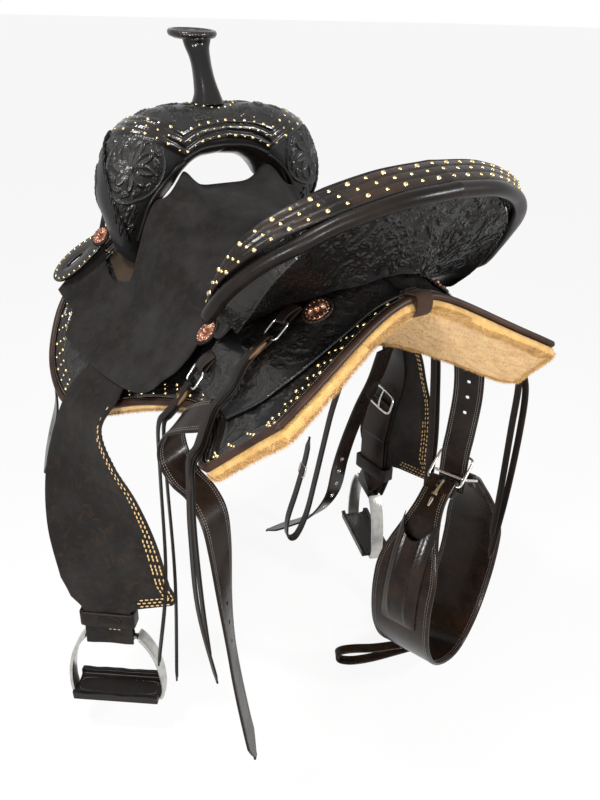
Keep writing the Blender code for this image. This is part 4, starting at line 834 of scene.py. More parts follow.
tree_hide = leather("tree_rawhide", HIDE, [0.5 * c for c in HIDE], 0.8, 0.5, 0.5, 120.0, 0.0004)
for side, label in SIDES:
    dress(f"{label}_tree_bar", tree_hide)
    jockey = Pattern([(side * x, y) for x, y in REAR_JOCKEY], 0.0018)
    u, v = (jockey.flat * (side, 1)).T
    carved = sprays(u, v, JOCKEY_FLOWERS) * smooth_step(jockey.far - ROPE_WIDE - 0.001, 0.001)
    relief = np.maximum(carved, roped(jockey.far, jockey.along))
    piece(f"{label}_rear_jockey_leather",
          jockey.plate(on_jockey, 0.0, JOCKEY_THICK, JOCKEY_RELIEF * (relief - JOCKEY_SUNK)), tooled,
          [f"{label}_rear_jockey"], relief=np.concatenate([relief, np.ones(len(u))]))
joint = on_jockey(np.zeros(40), np.linspace(-0.262, -0.200, 40), np.full(40, JOCKEY_THICK + 0.0006))
piece("jockey_joint", skin(strap_rings(joint, (1, 0, 0), JOINT_WIDTH, JOINT_THICK)[0]),
      smooth_leather)

# Seat
# One big piece of leather, rough side out, from the fork's arch down over both bars to the front
# jockeys, and up the cantle to its crest. It is drawn down wet over the shaped ground seat.

SEAT_THICK = 0.0042
SEAT_LIFT = SKIRT_THICK + BAR_THICK + 3 * SEAM
SEAT_RISE_MID, SEAT_CROWN_HALF, SEAT_FRONT_HEIGHT = 0.012, 0.145, 0.064
FRONT_EDGE, FRONT_FALL, FRONT_RUN, FRONT_POWER = 0.112, 0.050, 0.158, 1.6
EAR_RISE, EAR_PLACE, EAR_WIDTH = 0.030, 0.073, 0.021
DISH_START, DISH_POWER = -0.055, 1.75
CREST = [(0, -0.269, 0.163), (0.075, -0.265, 0.1565), (0.153, -0.2475, 0.133),
         (0.193, -0.2275, 0.104), (0.207, -0.202, 0.068), (0.204, -0.175, 0.028),
         (0.190, -0.156, 0.006)]
SEAT_SIDE = [(0.183, -0.195), (0.172, -0.160), (0.158, -0.100), (0.1465, -0.052), (0.182, -0.058),
             (0.2055, -0.048), (0.2365, -0.003), (0.249, 0.214), (0.226, 0.236),
             (0.229, 0.288), (0.138, 0.302), (0.158, 0.262), (0.166, 0.215), (0.156, 0.172),
             (0.120, 0.150), (0.084, 0.147), (0.062, 0.157), (0.036, 0.164), (0.0, 0.166)]
GROUND_THICK, GROUND_DROP = 0.0045, 0.0062
GROUND_SEAT = [(0, -0.096), (0.094, -0.092), (0.106, -0.05), (0.105, 0.05), (0.088, 0.125),
               (0.052, 0.142), (0, 0.146)]
RIM_CLEAR, CANTLE_CENTRE, WING_SEAT_LIMIT, WING_SEAT_BACK = 0.0075, -0.15, 0.194, -0.2275
WING_START, WING_RUN = 0.12, 0.05


def wing_share(x):
    """None over the cantle's middle, one out on its wings."""
    return ease((np.abs(x) - WING_START) / WING_RUN)


def both_sides(half, count):
    """A curve drawn from the centre to the off side, as one curve from the near to the off side."""
    side = resample(spline(half, 12), count // 2 + 1)
    side[0, 0] = 0.0
    mirrored = side * ([-1] + [1] * (side.shape[1] - 1))
    return np.vstack([mirrored[:0:-1], side])


def seat_height(x, y):
    """Top of the seat: over the bars at the sides, crowned in the middle, dished up to the crest."""
    slope = slope_at(y) * np.abs(x) / np.hypot(x, RIDGE_RADIUS)
    base = back_height(x, y) + (SEAT_LIFT + SEAT_THICK) * np.hypot(1.0, slope)
    base = base + SEAT_RISE_MID * np.clip(1.0 - (x / SEAT_CROWN_HALF) ** 2, 0, 1) ** 2
    front = SEAT_FRONT_HEIGHT + EAR_RISE * np.exp(-((np.abs(x) - EAR_PLACE) / EAR_WIDTH) ** 2)
    front = front + (base - front) * ease((np.abs(x) - FRONT_EDGE) / FRONT_FALL)
    base = base + (front - base) * np.clip(y / FRONT_RUN, 0, 1) ** FRONT_POWER
    reach = np.minimum(np.abs(x), CREST_SIDE[-1, 0])
    crest_y = np.interp(reach, CREST_SIDE[:, 0], CREST_SIDE[:, 1])
    crest_z = np.interp(reach, CREST_SIDE[:, 0], CREST_SIDE[:, 2])
    share = np.clip((DISH_START - y) / (DISH_START - crest_y), 0.0, 1.3) ** DISH_POWER
    return base + (crest_z - base) * share


def on_seat(x, y, lift):
    return laid_on(seat_height, x, y, lift)


half_crest = resample(spline(CREST, 12), 60)
CREST_SIDE = half_crest[:np.argmax(half_crest[:, 0]) + 1]
seat_suede = roughout("seat_suede", (0.0088, 0.0078, 0.0072), (0.0250, 0.0235, 0.0235),
                      (0.028, 0.0165, 0.0105), 0.02)
outline = []
for px, py in both_sides(CREST, 60)[:, :2]:
    if abs(px) < WING_SEAT_LIMIT or py < WING_SEAT_BACK:
        inward = unit((-px, CANTLE_CENTRE - py)) * RIM_CLEAR * wing_share(px)
        outline.append((px + inward[0], py + inward[1]))
outline += SEAT_SIDE + [(-x, y) for x, y in SEAT_SIDE[-2::-1]]
seat = Pattern(outline, 0.0034, rounding=0.0022, corner=44)
edge_roll = 0.0007 * np.exp(-((seat.far - 0.004) / 0.002) ** 2)
piece("seat_leather", seat.plate(on_seat, -SEAT_THICK, SEAT_THICK, edge_roll), seat_suede, ["seat"])
ground = Pattern(GROUND_SEAT + [(-x, y) for x, y in GROUND_SEAT[-2:0:-1]], 0.006, rounding=0.002)
piece("ground_seat_leather", ground.plate(on_seat, -SEAT_THICK - GROUND_DROP, GROUND_THICK),
      smooth_leather, ["ground_seat"])
dress("cantle_board", tree_hide)

# Cantle
# The back of the seat. Three ribbed straps with brass studs lie along its rolled top, a stuffed
# binding turns over the outer edge, and the hollow panel behind is carved with flowers.

ROLL_EDGE = [(0, -0.3175, 0.1445), (0.068, -0.310, 0.1375), (0.129, -0.287, 0.1155),
             (0.1755, -0.252, 0.084), (0.202, -0.212, 0.047), (0.209, -0.175, 0.0125),
             (0.196, -0.150, -0.008)]
ROLL_UNDER = [(0, -0.287, 0.141), (0.070, -0.282, 0.131), (0.130, -0.268, 0.098),
              (0.163, -0.238, 0.052), (0.170, -0.200, 0.004), (0.166, -0.164, -0.030)]
CANTLE_BASE = [(0, -0.233), (0.034, -0.227), (0.056, -0.205), (0.074, -0.172), (0.099, -0.134),
               (0.120, -0.106)]
STATIONS = 520
BAND_INSET, BAND_CROWN, BAND_THICK, BAND_RELIEF = 0.003, 0.002, 0.004, 0.0012
BINDING_RADIUS, ROLL_GAP, WING_GAP, ROLL_LIP = 0.0085, 0.0014, 0.0014, 0.008
BACK_THICK, BACK_HOLLOW, FOOT_GAP, MIN_GAP = 0.0035, 1.6, 0.0030, 0.0005
PANEL_ROWS, ROLL_ROWS = 96, 40
PANEL_RELIEF = 0.0024
BAND_STUD_PITCH, BAND_STUD_SLANT, BAND_STUDS = 0.0205, 0.0052, (0.0020, 0.0028)
RIBS_START, RIBS_WIDTH = 0.03, 0.94
PANEL_STEP, PLAIN_FROM = 0.070, 0.262
WELT_RADIUS = 0.0011


def tube(path, radius, sides=16, closed=False, across=None):
    """Rings of a tube; radius may be a number, one for each point, or rows of one for each corner."""
    path = np.asarray(path, float)
    if closed:
        tangents = unit(np.roll(path, -1, 0) - np.roll(path, 1, 0))
    else:
        tangents = unit(np.gradient(path, axis=0))
    wide = np.array(across if across is not None else np.cross(tangents[0], (0.31, 0.52, 0.8)), float)
    angles = around(sides)
    sizes = np.broadcast_to(np.reshape(radius, (-1, 1)) if np.ndim(radius) == 1 else radius,
                            (len(path), sides))
    rings = []
    for p, t, size in zip(path, tangents, sizes):
        wide = unit(wide - t * np.dot(wide, t))
        up = np.cross(t, wide)
        rings.append(p + size[:, None] * (np.cos(angles)[:, None] * wide + np.sin(angles)[:, None] * up))
    return rings


def twisted(path, radius, pitch, strands, sides):
    """A laid rope: its strands show as ridges that wind round the path."""
    phase = strands * around(sides)[None] - 2 * math.pi * lengths_along(path)[:, None] / pitch
    return tube(path, radius * (0.80 + 0.20 * np.abs(np.cos(phase / 2)) * 2 - 0.12), sides)


def band_crown(share):
    return BAND_CROWN * (1 - (2 * share - 1) ** 2)


def panel_carving(u, v):
    """Staggered rows of flowers with their leaves and stems, over the panel and the roll above it."""
    height = np.zeros(len(u))
    for k in range(-5, 5):
        at, sunk = k * PANEL_STEP, 0.006 * abs(k)
        flowers = (((at, 0.040 - 0.002 * abs(k)), 0.0190, 0.35 * k),
                   ((at + 0.035, 0.094 - sunk), 0.0175, 0.5 * k + 0.3),
                   ((at, 0.146 - sunk), 0.0170, 0.7 * k))
        leaves = (((at + 0.012, 0.126 - sunk), -0.5), ((at + 0.060, 0.128 - sunk), -2.4),
                  ((at + 0.035, 0.010), 1.3))
        height = np.maximum(height, sprays(u, v, flowers))
        for spot, angle in leaves:
            height = np.maximum(height, leaf(u, v, spot, angle, 0.026, 0.014, 0.25))
    return height


def plain_wing(u):
    """One where the panel is left plain, on the far end of the off wing."""
    return 1 - ease((PLAIN_FROM - u) / 0.02)


band_leather = leather("band_leather", (0.0050, 0.0040, 0.0036), (0.060, 0.032, 0.018), 0.45, 0.26, 0.5,
                       relief=True, coat=0.04, specular=0.2)
crest, roll_edge = both_sides(CREST, STATIONS), both_sides(ROLL_EDGE, STATIONS)
under = both_sides(ROLL_UNDER, STATIONS)
base = both_sides([(x, y, 0.0) for x, y in CANTLE_BASE], STATIONS)
runs = unit(np.gradient(crest, axis=0))
faces_up = unit(np.cross(runs, roll_edge - crest))
middle = len(crest) // 2
if faces_up[middle, 2] < 0:
    faces_up = -faces_up
widths = np.linalg.norm(roll_edge - crest, axis=1, keepdims=True)
outs = (roll_edge - crest) / widths
reach = np.minimum(BINDING_RADIUS + ROLL_GAP, 0.5 * widths)
wing = wing_share(crest[:, :1])
gap = WING_GAP * wing
inner = crest + outs * np.minimum(BAND_INSET, 0.25 * widths)
outer = roll_edge - outs * (reach - 0.0008)
band_along = lengths_along(roll_edge) - lengths_along(roll_edge)[middle]

shares = np.linspace(0, 1, 46)
ribs = strips(shares, RIBS_START, RIBS_WIDTH / 3, 3)
shift = (band_along[:, None] - shares * 0.012) / BAND_STUD_PITCH
cut = 0.30 * np.exp(-((shift - np.round(shift)) / 0.035) ** 2)
notches = np.clip(ribs - cut * (ribs > 0.3), 0, 1)
rings = []
for i in range(len(crest)):
    top = inner[i] + (outer[i] - inner[i]) * shares[:, None]
    top = top + faces_up[i] * (band_crown(shares) + BAND_RELIEF * (notches[i] - 0.6))[:, None]
    rings.append(np.vstack([top, outer[i] - faces_up[i] * BAND_THICK, inner[i] - faces_up[i] * BAND_THICK]))
piece("cantle_band_leather", skin(rings), band_leather, ["cantle_band"],
      relief=np.hstack([notches, np.ones((len(crest), 2))]).ravel())
places, ups, sizes = [], [], []
for k in range(int(band_along[0] / BAND_STUD_PITCH), int(band_along[-1] / BAND_STUD_PITCH) + 1):
    for row in range(3):
        s = k * BAND_STUD_PITCH + (row - 1) * BAND_STUD_SLANT
        i = int(np.searchsorted(band_along, s))
        if 6 < i < len(crest) - 7:
            share = RIBS_START + RIBS_WIDTH * (row + 0.5) / 3
            places.append(inner[i] + (outer[i] - inner[i]) * share
                          + faces_up[i] * (band_crown(share) + BAND_RELIEF * 0.3))
            ups.append(faces_up[i])
            sizes.append(BAND_STUDS[row != 1 and k % 2])
piece("cantle_band_studs", copies(STUD, places, ups, (1, 0.2, 0), np.array(sizes)[:, None]), brass)

binding_path = (roll_edge + outs * (BINDING_RADIUS + 3 * gap - reach)
                - faces_up * BINDING_RADIUS * 0.6)
ends = np.minimum(np.arange(len(crest)), np.arange(len(crest))[::-1]) / 22
bulge = 1 + 0.012 * np.sin(band_along * 95) + 0.010 * np.sin(band_along * 41 + 1)
bulge = bulge * np.clip(ends, 0.10, 1) ** 0.5
piece("cantle_binding_leather", skin(tube(binding_path, BINDING_RADIUS * bulge, 22)), smooth_leather,
      ["cantle_binding"])
welt = binding_path - faces_up * BINDING_RADIUS * 0.80 - outs * BINDING_RADIUS * 0.58
piece("cantle_welt", skin(tube(welt, WELT_RADIUS, 8)), smooth_leather)

drop = faces_up * (BAND_THICK + SEAM + gap)
lip = faces_up * (BAND_THICK + SEAM + ROLL_LIP)
rim = outer - outs * gap
lip_line = rim - outs * 2 * gap - lip


feet = on_jockey(base[:, 0], base[:, 1], np.full(len(base), JOCKEY_THICK + FOOT_GAP))
thin = 1.0 - 0.65 * wing
inward = unit(np.cross(under - feet, unit(np.gradient(under, axis=0)))) * BACK_THICK * thin
tops = under - unit(under - feet) * MIN_GAP * (2.0 - thin) ** 2
waist = tops + (feet - tops) * 0.55 + inward * BACK_HOLLOW
panel_along = lengths_along(under) - lengths_along(under)[middle]
down = np.linspace(0, 1, PANEL_ROWS)[:, None]
heights = np.linalg.norm(tops - feet, axis=1)
u = np.repeat(panel_along, PANEL_ROWS)
v = np.concatenate([h * (1 - down[:, 0]) for h in heights])
carved = np.maximum(panel_carving(u, v) * smooth_step(v - 0.004, 0.003), plain_wing(u))
rings = []
for i in range(len(under)):
    pull = 2 * waist[i] - 0.5 * (tops[i] + feet[i])
    face = (1 - down) ** 2 * tops[i] + 2 * down * (1 - down) * pull + down ** 2 * feet[i]
    rows = carved[i * PANEL_ROWS:(i + 1) * PANEL_ROWS, None]
    outer_face = face - unit(inward[i]) * PANEL_RELIEF * (rows - 0.5) * (1 - 0.4 * wing[i])
    rings.append(np.vstack([outer_face, face[::-8] + inward[i]]))
spare = len(rings[0]) - PANEL_ROWS
relief = np.hstack([carved.reshape(-1, PANEL_ROWS), np.ones((len(under), spare))]).ravel()
piece("cantle_back_leather", skin(rings), tooled, ["cantle_back"], relief=relief)

share = np.linspace(0, 1, ROLL_ROWS)[:, None]
spans = np.linalg.norm(lip_line - under, axis=1)
u = np.repeat(panel_along, ROLL_ROWS)
v = np.concatenate([h + 0.003 + d * share[:, 0] for h, d in zip(heights, spans)])
carved = np.maximum(panel_carving(u, v), plain_wing(u)).reshape(-1, ROLL_ROWS)
carved = np.maximum(carved, np.exp(-((share[:, 0] - 0.03) / 0.03) ** 2))
facing = unit(np.cross(unit(np.gradient(under, axis=0)), lip_line - under))
facing *= np.sign(np.sum(facing * (lip_line - (inner - drop)), axis=1, keepdims=True))
rings = []
for i in range(len(under)):
    face = under[i] + (lip_line[i] - under[i]) * share
    face = face + facing[i] * PANEL_RELIEF * (carved[i][:, None] - 0.7) * (1 - 0.4 * wing[i])
    rings.append(np.vstack([face, rim[i] - drop[i], inner[i] + outs[i] * gap[i] - drop[i]]))
relief = np.hstack([carved, np.ones((len(under), 2))]).ravel()
piece("cantle_roll_leather", skin(rings), tooled, ["cantle_roll"], relief=relief, crease=60)

# Fork and swells
# A laminated wooden arch that bridges the horse's withers. Its cover is one carved piece, drawn wet
# over the swells and sewn behind with a roped seam; three studded straps run over the hand hole.

ARCH = [(0, 0.200, 0.138, 0.034, 0.050), (0.045, 0.198, 0.136, 0.038, 0.052),
        (0.085, 0.194, 0.124, 0.047, 0.052), (0.118, 0.193, 0.098, 0.054, 0.048),
        (0.138, 0.197, 0.058, 0.046, 0.042), (0.141, 0.203, 0.020, 0.033, 0.036),
        (0.139, 0.210, -0.018, 0.021, 0.028), (0.128, 0.212, -0.0386, 0.016, 0.025)]
ARCH_SQUARE = 2.3
ARCH_STEPS, ARCH_ANGLES = 430, 300
TURN_LENGTH = 0.00087
SWELL_RELIEF = 0.0026
STRAP_LINES = [[(0, -66), (0.043, -71), (0.0745, -79), (0.087, -53), (0.0955, -26), (0.102, 0), (0.104, 24)],
               [(0, -80), (0.045, -85), (0.078, -93), (0.092, -68), (0.101, -40), (0.108, -12),
                (0.111, 14)],
               [(0, -94), (0.055, -101), (0.0812, -107), (0.0975, -80), (0.1065, -54), (0.114, -28),
                (0.119, 4)]]
STRAP_HALF, SWELL_STUD_PITCH, SWELL_STUDS = 0.0055, 0.0150, (0.0019, 0.0027)
ROPE_LINE = [(0.122, 24), (0.136, 2), (0.148, -12), (0.166, -30), (0.184, -46), (0.206, -60), (0.236, -74)]
WELT_LINE = [(0.086, -121), (0.110, -119), (0.134, -116), (0.165, -112), (0.200, -107), (0.236, -98)]
ROPE_RADIUS, ROPE_LAY, SWELL_WELT_RADIUS = 0.0026, 0.0105, 0.0036
SWELL_FLOWER = (0.141, -64 * TURN_LENGTH)
SWELL_LEAVES = (((0.176, -0.035), -0.3, 0.034), ((0.180, -0.075), 0.2, 0.036),
                ((0.196, -0.052), 0.1, 0.034), ((0.208, -0.075), 0.5, 0.028),
                ((0.128, -0.014), 0.9, 0.026), ((0.030, -0.034), 0.5, 0.026),
                ((0.050, -0.052), 2.6, 0.024), ((0.062, -0.022), 1.2, 0.024),
                ((0.018, -0.050), 0.2, 0.022), ((0.075, -0.047), 1.9, 0.018))
SWELL_STEMS = (((0.043, -0.040), 0.0095), ((0.068, -0.036), 0.0085), ((0.085, -0.012), 0.009),
               ((0.020, -0.036), 0.007), ((0.185, -0.056), 0.007))
FRONT_FLOWERS = (((0.030, 0.034), 0.020, 0.2), ((0.100, 0.052), 0.024, 0.6),
                 ((0.170, 0.050), 0.021, 0.1), ((0.075, 0.088), 0.016, 0.3))


def arch_point(s, angle, lift=0.0):
    """Points of the fork: s along the arch from its top to the off side, angle about it from upwards."""
    s = np.clip(s, arch_along[0], arch_along[-1])
    centre, along = read_off(s, arch_along, arch_path), read_off(s, arch_along, arch_runs)
    half, deep = read_off(s, arch_along, arch_sizes).T
    up = unit(np.column_stack([-along[:, 2], np.zeros(len(along)), along[:, 0]]))
    front = unit(np.array([0, 1.0, 0]) - along * along[:, 1:2])
    c, t = np.cos(np.radians(angle)), np.sin(np.radians(angle))
    power = 2 / ARCH_SQUARE
    a = np.sign(c) * np.abs(c) ** power
    b = np.sign(t) * np.abs(t) ** power
    point = centre + up * (a * half)[:, None] + front * (b * deep)[:, None]
    ca, cb = np.sign(c) * np.abs(c) ** (2 - power), np.sign(t) * np.abs(t) ** (2 - power)
    normal = unit(up * (ca / half)[:, None] + front * (cb / deep)[:, None])
    return point + normal * np.reshape(lift, (-1, 1)), normal


def both_arms(half):
    """A line drawn on the off side of the fork, run over the top from the near side."""
    return np.array([(-s, a) for s, a in half[:0:-1]] + list(half), float)


def swell_carving(u, v, hand):
    """One arm's carving: a ringed flower on the swell, with leaves, stems and small sprays round it."""
    carved = flower(u, v, SWELL_FLOWER, 0.0285, 8, 0.25)
    for k in range(12):
        turn = 2 * math.pi * k / 12 + 0.2
        start = (SWELL_FLOWER[0] + 0.0270 * math.cos(turn), SWELL_FLOWER[1] + 0.0270 * math.sin(turn))
        carved = np.maximum(carved, leaf(u, v, start, turn + 0.9, 0.016, 0.0085, 0.3, 3))
    circle = np.hypot(u - SWELL_FLOWER[0], v - SWELL_FLOWER[1])
    carved = np.maximum(carved, np.exp(-((circle - 0.0400) / 0.0011) ** 2))
    for spot, turn, size in SWELL_LEAVES:
        carved = np.maximum(carved, leaf(u, v, spot, turn, size, size * 0.52, 0.22))
    for spot, size in SWELL_STEMS:
        carved = np.maximum(carved, scroll(u, v, spot, size, 2.0, size * 90, hand))
    return np.maximum(carved, sprays(u, v, FRONT_FLOWERS))


half_arch = spline(ARCH, 30)
arch_rows = np.vstack([half_arch[:0:-1] * (-1, 1, 1, 1, 1), half_arch])
arch_path, arch_sizes = arch_rows[:, :3], arch_rows[:, 3:]
arch_along = lengths_along(arch_path)
arch_along = arch_along - arch_along[len(arch_along) // 2]
arch_runs = unit(np.gradient(arch_path, axis=0))
s = np.repeat(np.linspace(arch_along[0], arch_along[-1], ARCH_STEPS), ARCH_ANGLES)
angle = np.tile(np.linspace(-180, 180, ARCH_ANGLES, endpoint=False), ARCH_STEPS)
flat = np.column_stack([s, angle * TURN_LENGTH])
carved = np.maximum(*(swell_carving(flat[:, 0] * hand, flat[:, 1], hand) for hand in (-1, 1)))
carved *= np.clip((118 - np.abs(angle)) / 6, 0, 1)
straps = np.zeros(len(s))
near_strap = np.full(len(s), 1.0)
for line in STRAP_LINES:
    gap_to = nearest_on(both_arms(line) * (1, TURN_LENGTH), flat, closed=False)[0]
    near_strap = np.minimum(near_strap, gap_to)
    share = gap_to / STRAP_HALF
    straps = np.maximum(straps, (share < 1) * (np.clip(1 - share ** 6, 0, 1)
                                               - 0.28 * np.exp(-((share - 0.66) / 0.08) ** 2)))
relief = np.where(near_strap < STRAP_HALF * 1.15, straps * 1.15, carved)
smooth_inside = ease((np.abs(angle) - 116) / 8)
relief = np.maximum(relief, smooth_inside)
points, normals = arch_point(s, angle, SWELL_RELIEF * (relief - 0.55) * (1 - 0.8 * smooth_inside))
piece("swell_cover_leather", skin(list(points.reshape(ARCH_STEPS, ARCH_ANGLES, 3))), tooled,
      ["swell_cover"], relief=relief)
dress("fork_core", tree_hide)

places, ups, sizes = [], [], []
for row, line in enumerate(STRAP_LINES):
    path = both_arms(line) * (1, TURN_LENGTH)
    spots = resample(path, int(lengths_along(path)[-1] / SWELL_STUD_PITCH) + 1)
    spot, normal = arch_point(spots[:, 0], spots[:, 1] / TURN_LENGTH, 0.0008)
    places += list(spot)
    ups += list(normal)
    sizes += [SWELL_STUDS[row != 1 and k % 2] for k in range(len(spots))]
for k in range(9):
    turn = math.pi * (1.06 + 0.11 * k)
    spot, normal = arch_point(np.array([0.034 * math.cos(turn)]),
                              np.array([0.028 * math.sin(turn) / TURN_LENGTH + 2]), 0.0006)
    places += list(spot)
    ups += list(normal)
    sizes.append(0.0018)
piece("swell_studs", copies(STUD, places, ups, (1, 0.1, 0), np.array(sizes)[:, None]), brass)

for hand, label in SIDES:
    rope = resample(spline(np.array(ROPE_LINE) * (1, TURN_LENGTH), 8), 170)
    spot, normal = arch_point(rope[:, 0] * hand, rope[:, 1] / TURN_LENGTH, 0.0006)
    piece(f"{label}_swell_rope", skin(twisted(spot, ROPE_RADIUS, ROPE_LAY, 3, 16)), smooth_leather)
    welt = resample(spline(np.array(WELT_LINE) * (1, TURN_LENGTH), 8), 60)
    spot, normal = arch_point(welt[:, 0] * hand, welt[:, 1] / TURN_LENGTH, 0.0003)
    piece(f"{label}_swell_welt", skin(tube(spot, SWELL_WELT_RADIUS, 12)), smooth_leather)

# Horn
# A steel post with a wrapped leather neck, drawn tight and burnished until it shines, and a flat
# carved cap with a rolled rim.

NECK_PATH = [(0, 0.205, 0.1690), (0, 0.207, 0.184), (0, 0.213, 0.200), (0, 0.224, 0.228),
             (0, 0.232, 0.246), (0, 0.234, 0.256)]
NECK_RADII = (0.0250, 0.0180, 0.0155, 0.0145, 0.0155, 0.021)
NECK_SIDES, NECK_STEPS = 64, 90
CAP_RADIUS, CAP_THICK, CAP_TILT, CAP_SHIFT, CAP_LIFT = 0.036, 0.011, 4, 0.014, 0.0004
CAP_PROFILE = [(0.0, 0.0), (0.70, 0.0), (0.90, 0.10), (0.985, 0.38), (1.0, 0.60), (0.985, 0.80),
               (0.94, 0.95), (0.88, 1.0), (0.84, 0.97), (0.80, 0.93)]
CAP_SIDES, CAP_ROWS = 160, 60

horn_leather = leather("horn_leather", (0.0050, 0.0046, 0.0048), RUBBED, 0.05, 0.17, 0.2, 260.0, coat=0.22)
neck = resample(spline(NECK_PATH, 12), NECK_STEPS)
rise = np.linspace(0, 1, NECK_STEPS)
radii = np.interp(rise, np.linspace(0, 1, len(NECK_RADII)), NECK_RADII)
radii = np.convolve(np.pad(radii, 6, mode="edge"), np.ones(13) / 13, "valid")
angles = around(NECK_SIDES)
rise = rise[:, None]
folds = 1 + 0.022 * np.sin(5 * angles + 1.5 * rise * 3) * np.sin(math.pi * rise) ** 0.5
folds = folds - 0.035 * np.exp(-((np.angle(np.exp(1j * (angles - 3.6 - 0.5 * rise)))) / 0.10) ** 2)
piece("horn_neck_leather", skin(tube(neck, radii[:, None] * folds, NECK_SIDES, across=(1, 0, 0))),
      horn_leather, ["horn_neck"])

tilt = np.array([0, -math.sin(math.radians(CAP_TILT)), math.cos(math.radians(CAP_TILT))])
level = np.cross(tilt, (1, 0, 0))
centre = np.array(NECK_PATH[-1]) + tilt * CAP_LIFT + level * CAP_SHIFT
turn = around(CAP_SIDES)
profile = resample(spline(CAP_PROFILE[1:], 6), 36)
shares = np.concatenate([profile, np.column_stack([np.linspace(0.79, 0.012, CAP_ROWS),
                                                   np.full(CAP_ROWS, 0.93)])])
rings, relief = [], []
for share, high in shares:
    r = share * CAP_RADIUS
    u, v = r * np.cos(turn), r * np.sin(turn)
    carving = spray(u, v, (0, 0), 0.0125, 0.2, 8, 8) if share < 0.8 and high < 0.94 else np.ones(CAP_SIDES)
    cords = 0.5 + 0.5 * np.cos(34 * turn + 9 * high) if share > 0.85 else np.full(CAP_SIDES, 0.6)
    lift = high * CAP_THICK + 0.0009 * (carving - 1) * (share < 0.8)
    out = r + 0.0005 * (cords - 1) * (share > 0.85)
    rings.append(centre + (out * np.cos(turn))[:, None] * (1, 0, 0) + (out * np.sin(turn))[:, None] * level
                 + lift[:, None] * tilt)
    relief.append(np.maximum(carving * (share < 0.8), 0.5 + 0.5 * cords * (share >= 0.8)))
piece("horn_cap_leather", skin(rings), tooled, ["horn_cap"], relief=np.concatenate(relief))

# Fenders
# Long plates of roughout leather that keep the rider's legs off the horse. They hang from the bars over
# the stirrup leathers, and each rear corner is drawn out and buck-stitched with pale rawhide lace.

FENDER_THICK, FENDER_ROUND, FENDER_WAVE = 0.0040, 0.0014, 0.0012
FENDER_LIFT = SKIRT_THICK + 0.0098
FENDER_ON_SKIRT = [(0.160, 0.086, 0.040, 0.040), (0.205, 0.084, 0.050, 0.050),
                   (0.236, 0.079, 0.058, 0.060), (0.266, 0.073, 0.064, 0.067)]
FENDER_FREE = {
    "near": [(0.291, 0.058, -0.250, 14, 0.070, 0.078), (0.294, 0.036, -0.300, 30, 0.077, 0.083),
             (0.298, 0.014, -0.368, 44, 0.074, 0.090), (0.300, 0.001, -0.440, 50, 0.063, 0.098)],
    "off": [(0.292, 0.060, -0.250, 12, 0.068, 0.088), (0.290, 0.062, -0.295, 7, 0.066, 0.104),
            (0.280, 0.070, -0.345, 2, 0.062, 0.120), (0.275, 0.080, -0.405, -1, 0.056, 0.130)]}
FENDER_CORNER = [(0.020, 0.056, 1.10), (0.034, 0.052, 1.03), (0.047, 0.040, 0.48)]
TONGUE_ROWS = [(0.055, 0.0), (0.087, 0.0), (0.118, 1.0)]
TONGUE_HALF = 0.036
STIRRUP_TURN = {"near": 52, "off": 20}
FENDER_COLUMNS = 61
LACE = (0.00135, 0.0029, 0.00085)
LACE_PITCH, LACE_GAP, LACE_IN, CORNER_GAP = 0.0080, 0.0062, 0.0060, 0.0058


def fender_stations(side, label):
    """Stations down a fender: centre, direction of its width to the front, and two half widths."""
    rows = []
    for x, y, front, rear in FENDER_ON_SKIRT:
        lift = FENDER_LIFT + FENDER_THICK / 2
        ahead, behind = on_back([side * x] * 2, [y + front, y - rear], np.full(2, lift))
        centre = ahead + (behind - ahead) * front / (front + rear)
        rows.append((*centre, *unit(ahead - behind), front, rear))
    for x, y, z, turn, front, rear in FENDER_FREE[label]:
        turn = math.radians(turn)
        rows.append((side * x, y, z, side * math.sin(turn), math.cos(turn), 0, front, rear))
    smooth = spline(rows, 6)
    foot = smooth[-1].copy()
    tail = []
    for drop, front, share in FENDER_CORNER:
        tail.append((*(foot[:3] - (0, 0, drop)), *foot[3:6], front, foot[7] * share))
    turn = math.radians(STIRRUP_TURN[label])
    squared = np.array([side * math.sin(turn), math.cos(turn), 0])
    for drop, share in TONGUE_ROWS:
        wide = unit(foot[3:6] + (squared - foot[3:6]) * share)
        tail.append((*(foot[:3] - (0, 0, drop)), *wide, TONGUE_HALF, TONGUE_HALF))
    return smooth, np.array([foot] + tail), foot


def dense_rows(smooth, tail):
    """The stations filled in at even steps; the drawn-out corner keeps its straight edges."""
    filled = [resample(smooth, 120)[:-1]]
    for a, b in zip(tail, tail[1:]):
        steps = max(3, int(np.linalg.norm(b[:3] - a[:3]) / 0.0022))
        filled.append(a + (b - a) * np.linspace(0, 1, steps, endpoint=False)[:, None])
    rows = np.vstack(filled + [tail[-1:]])
    rows[:, 3:6] = unit(rows[:, 3:6])
    return rows


def fender_plate(rows, outwards):
    """The fender's section at every row: both faces, its edges rounded and its middle a little wavy."""
    shares = np.linspace(0, 1, FENDER_COLUMNS)
    rings = []
    for row, out in zip(rows, outwards):
        behind, ahead = row[:3] - row[3:6] * row[7], row[:3] + row[3:6] * row[6]
        face = behind + (ahead - behind) * shares[:, None]
        edge = np.minimum(shares, 1 - shares) * (row[6] + row[7])
        deep = out * (FENDER_THICK / 2 * rounded(edge / FENDER_ROUND))[:, None]
        wave = FENDER_WAVE * np.sin(shares * 5.2 + row[2] * 19) * ease((edge - 0.002) / 0.02)
        face = face + out * wave[:, None]
        rings.append(np.vstack([face + deep, (face - deep)[::-1]]))
    return rings


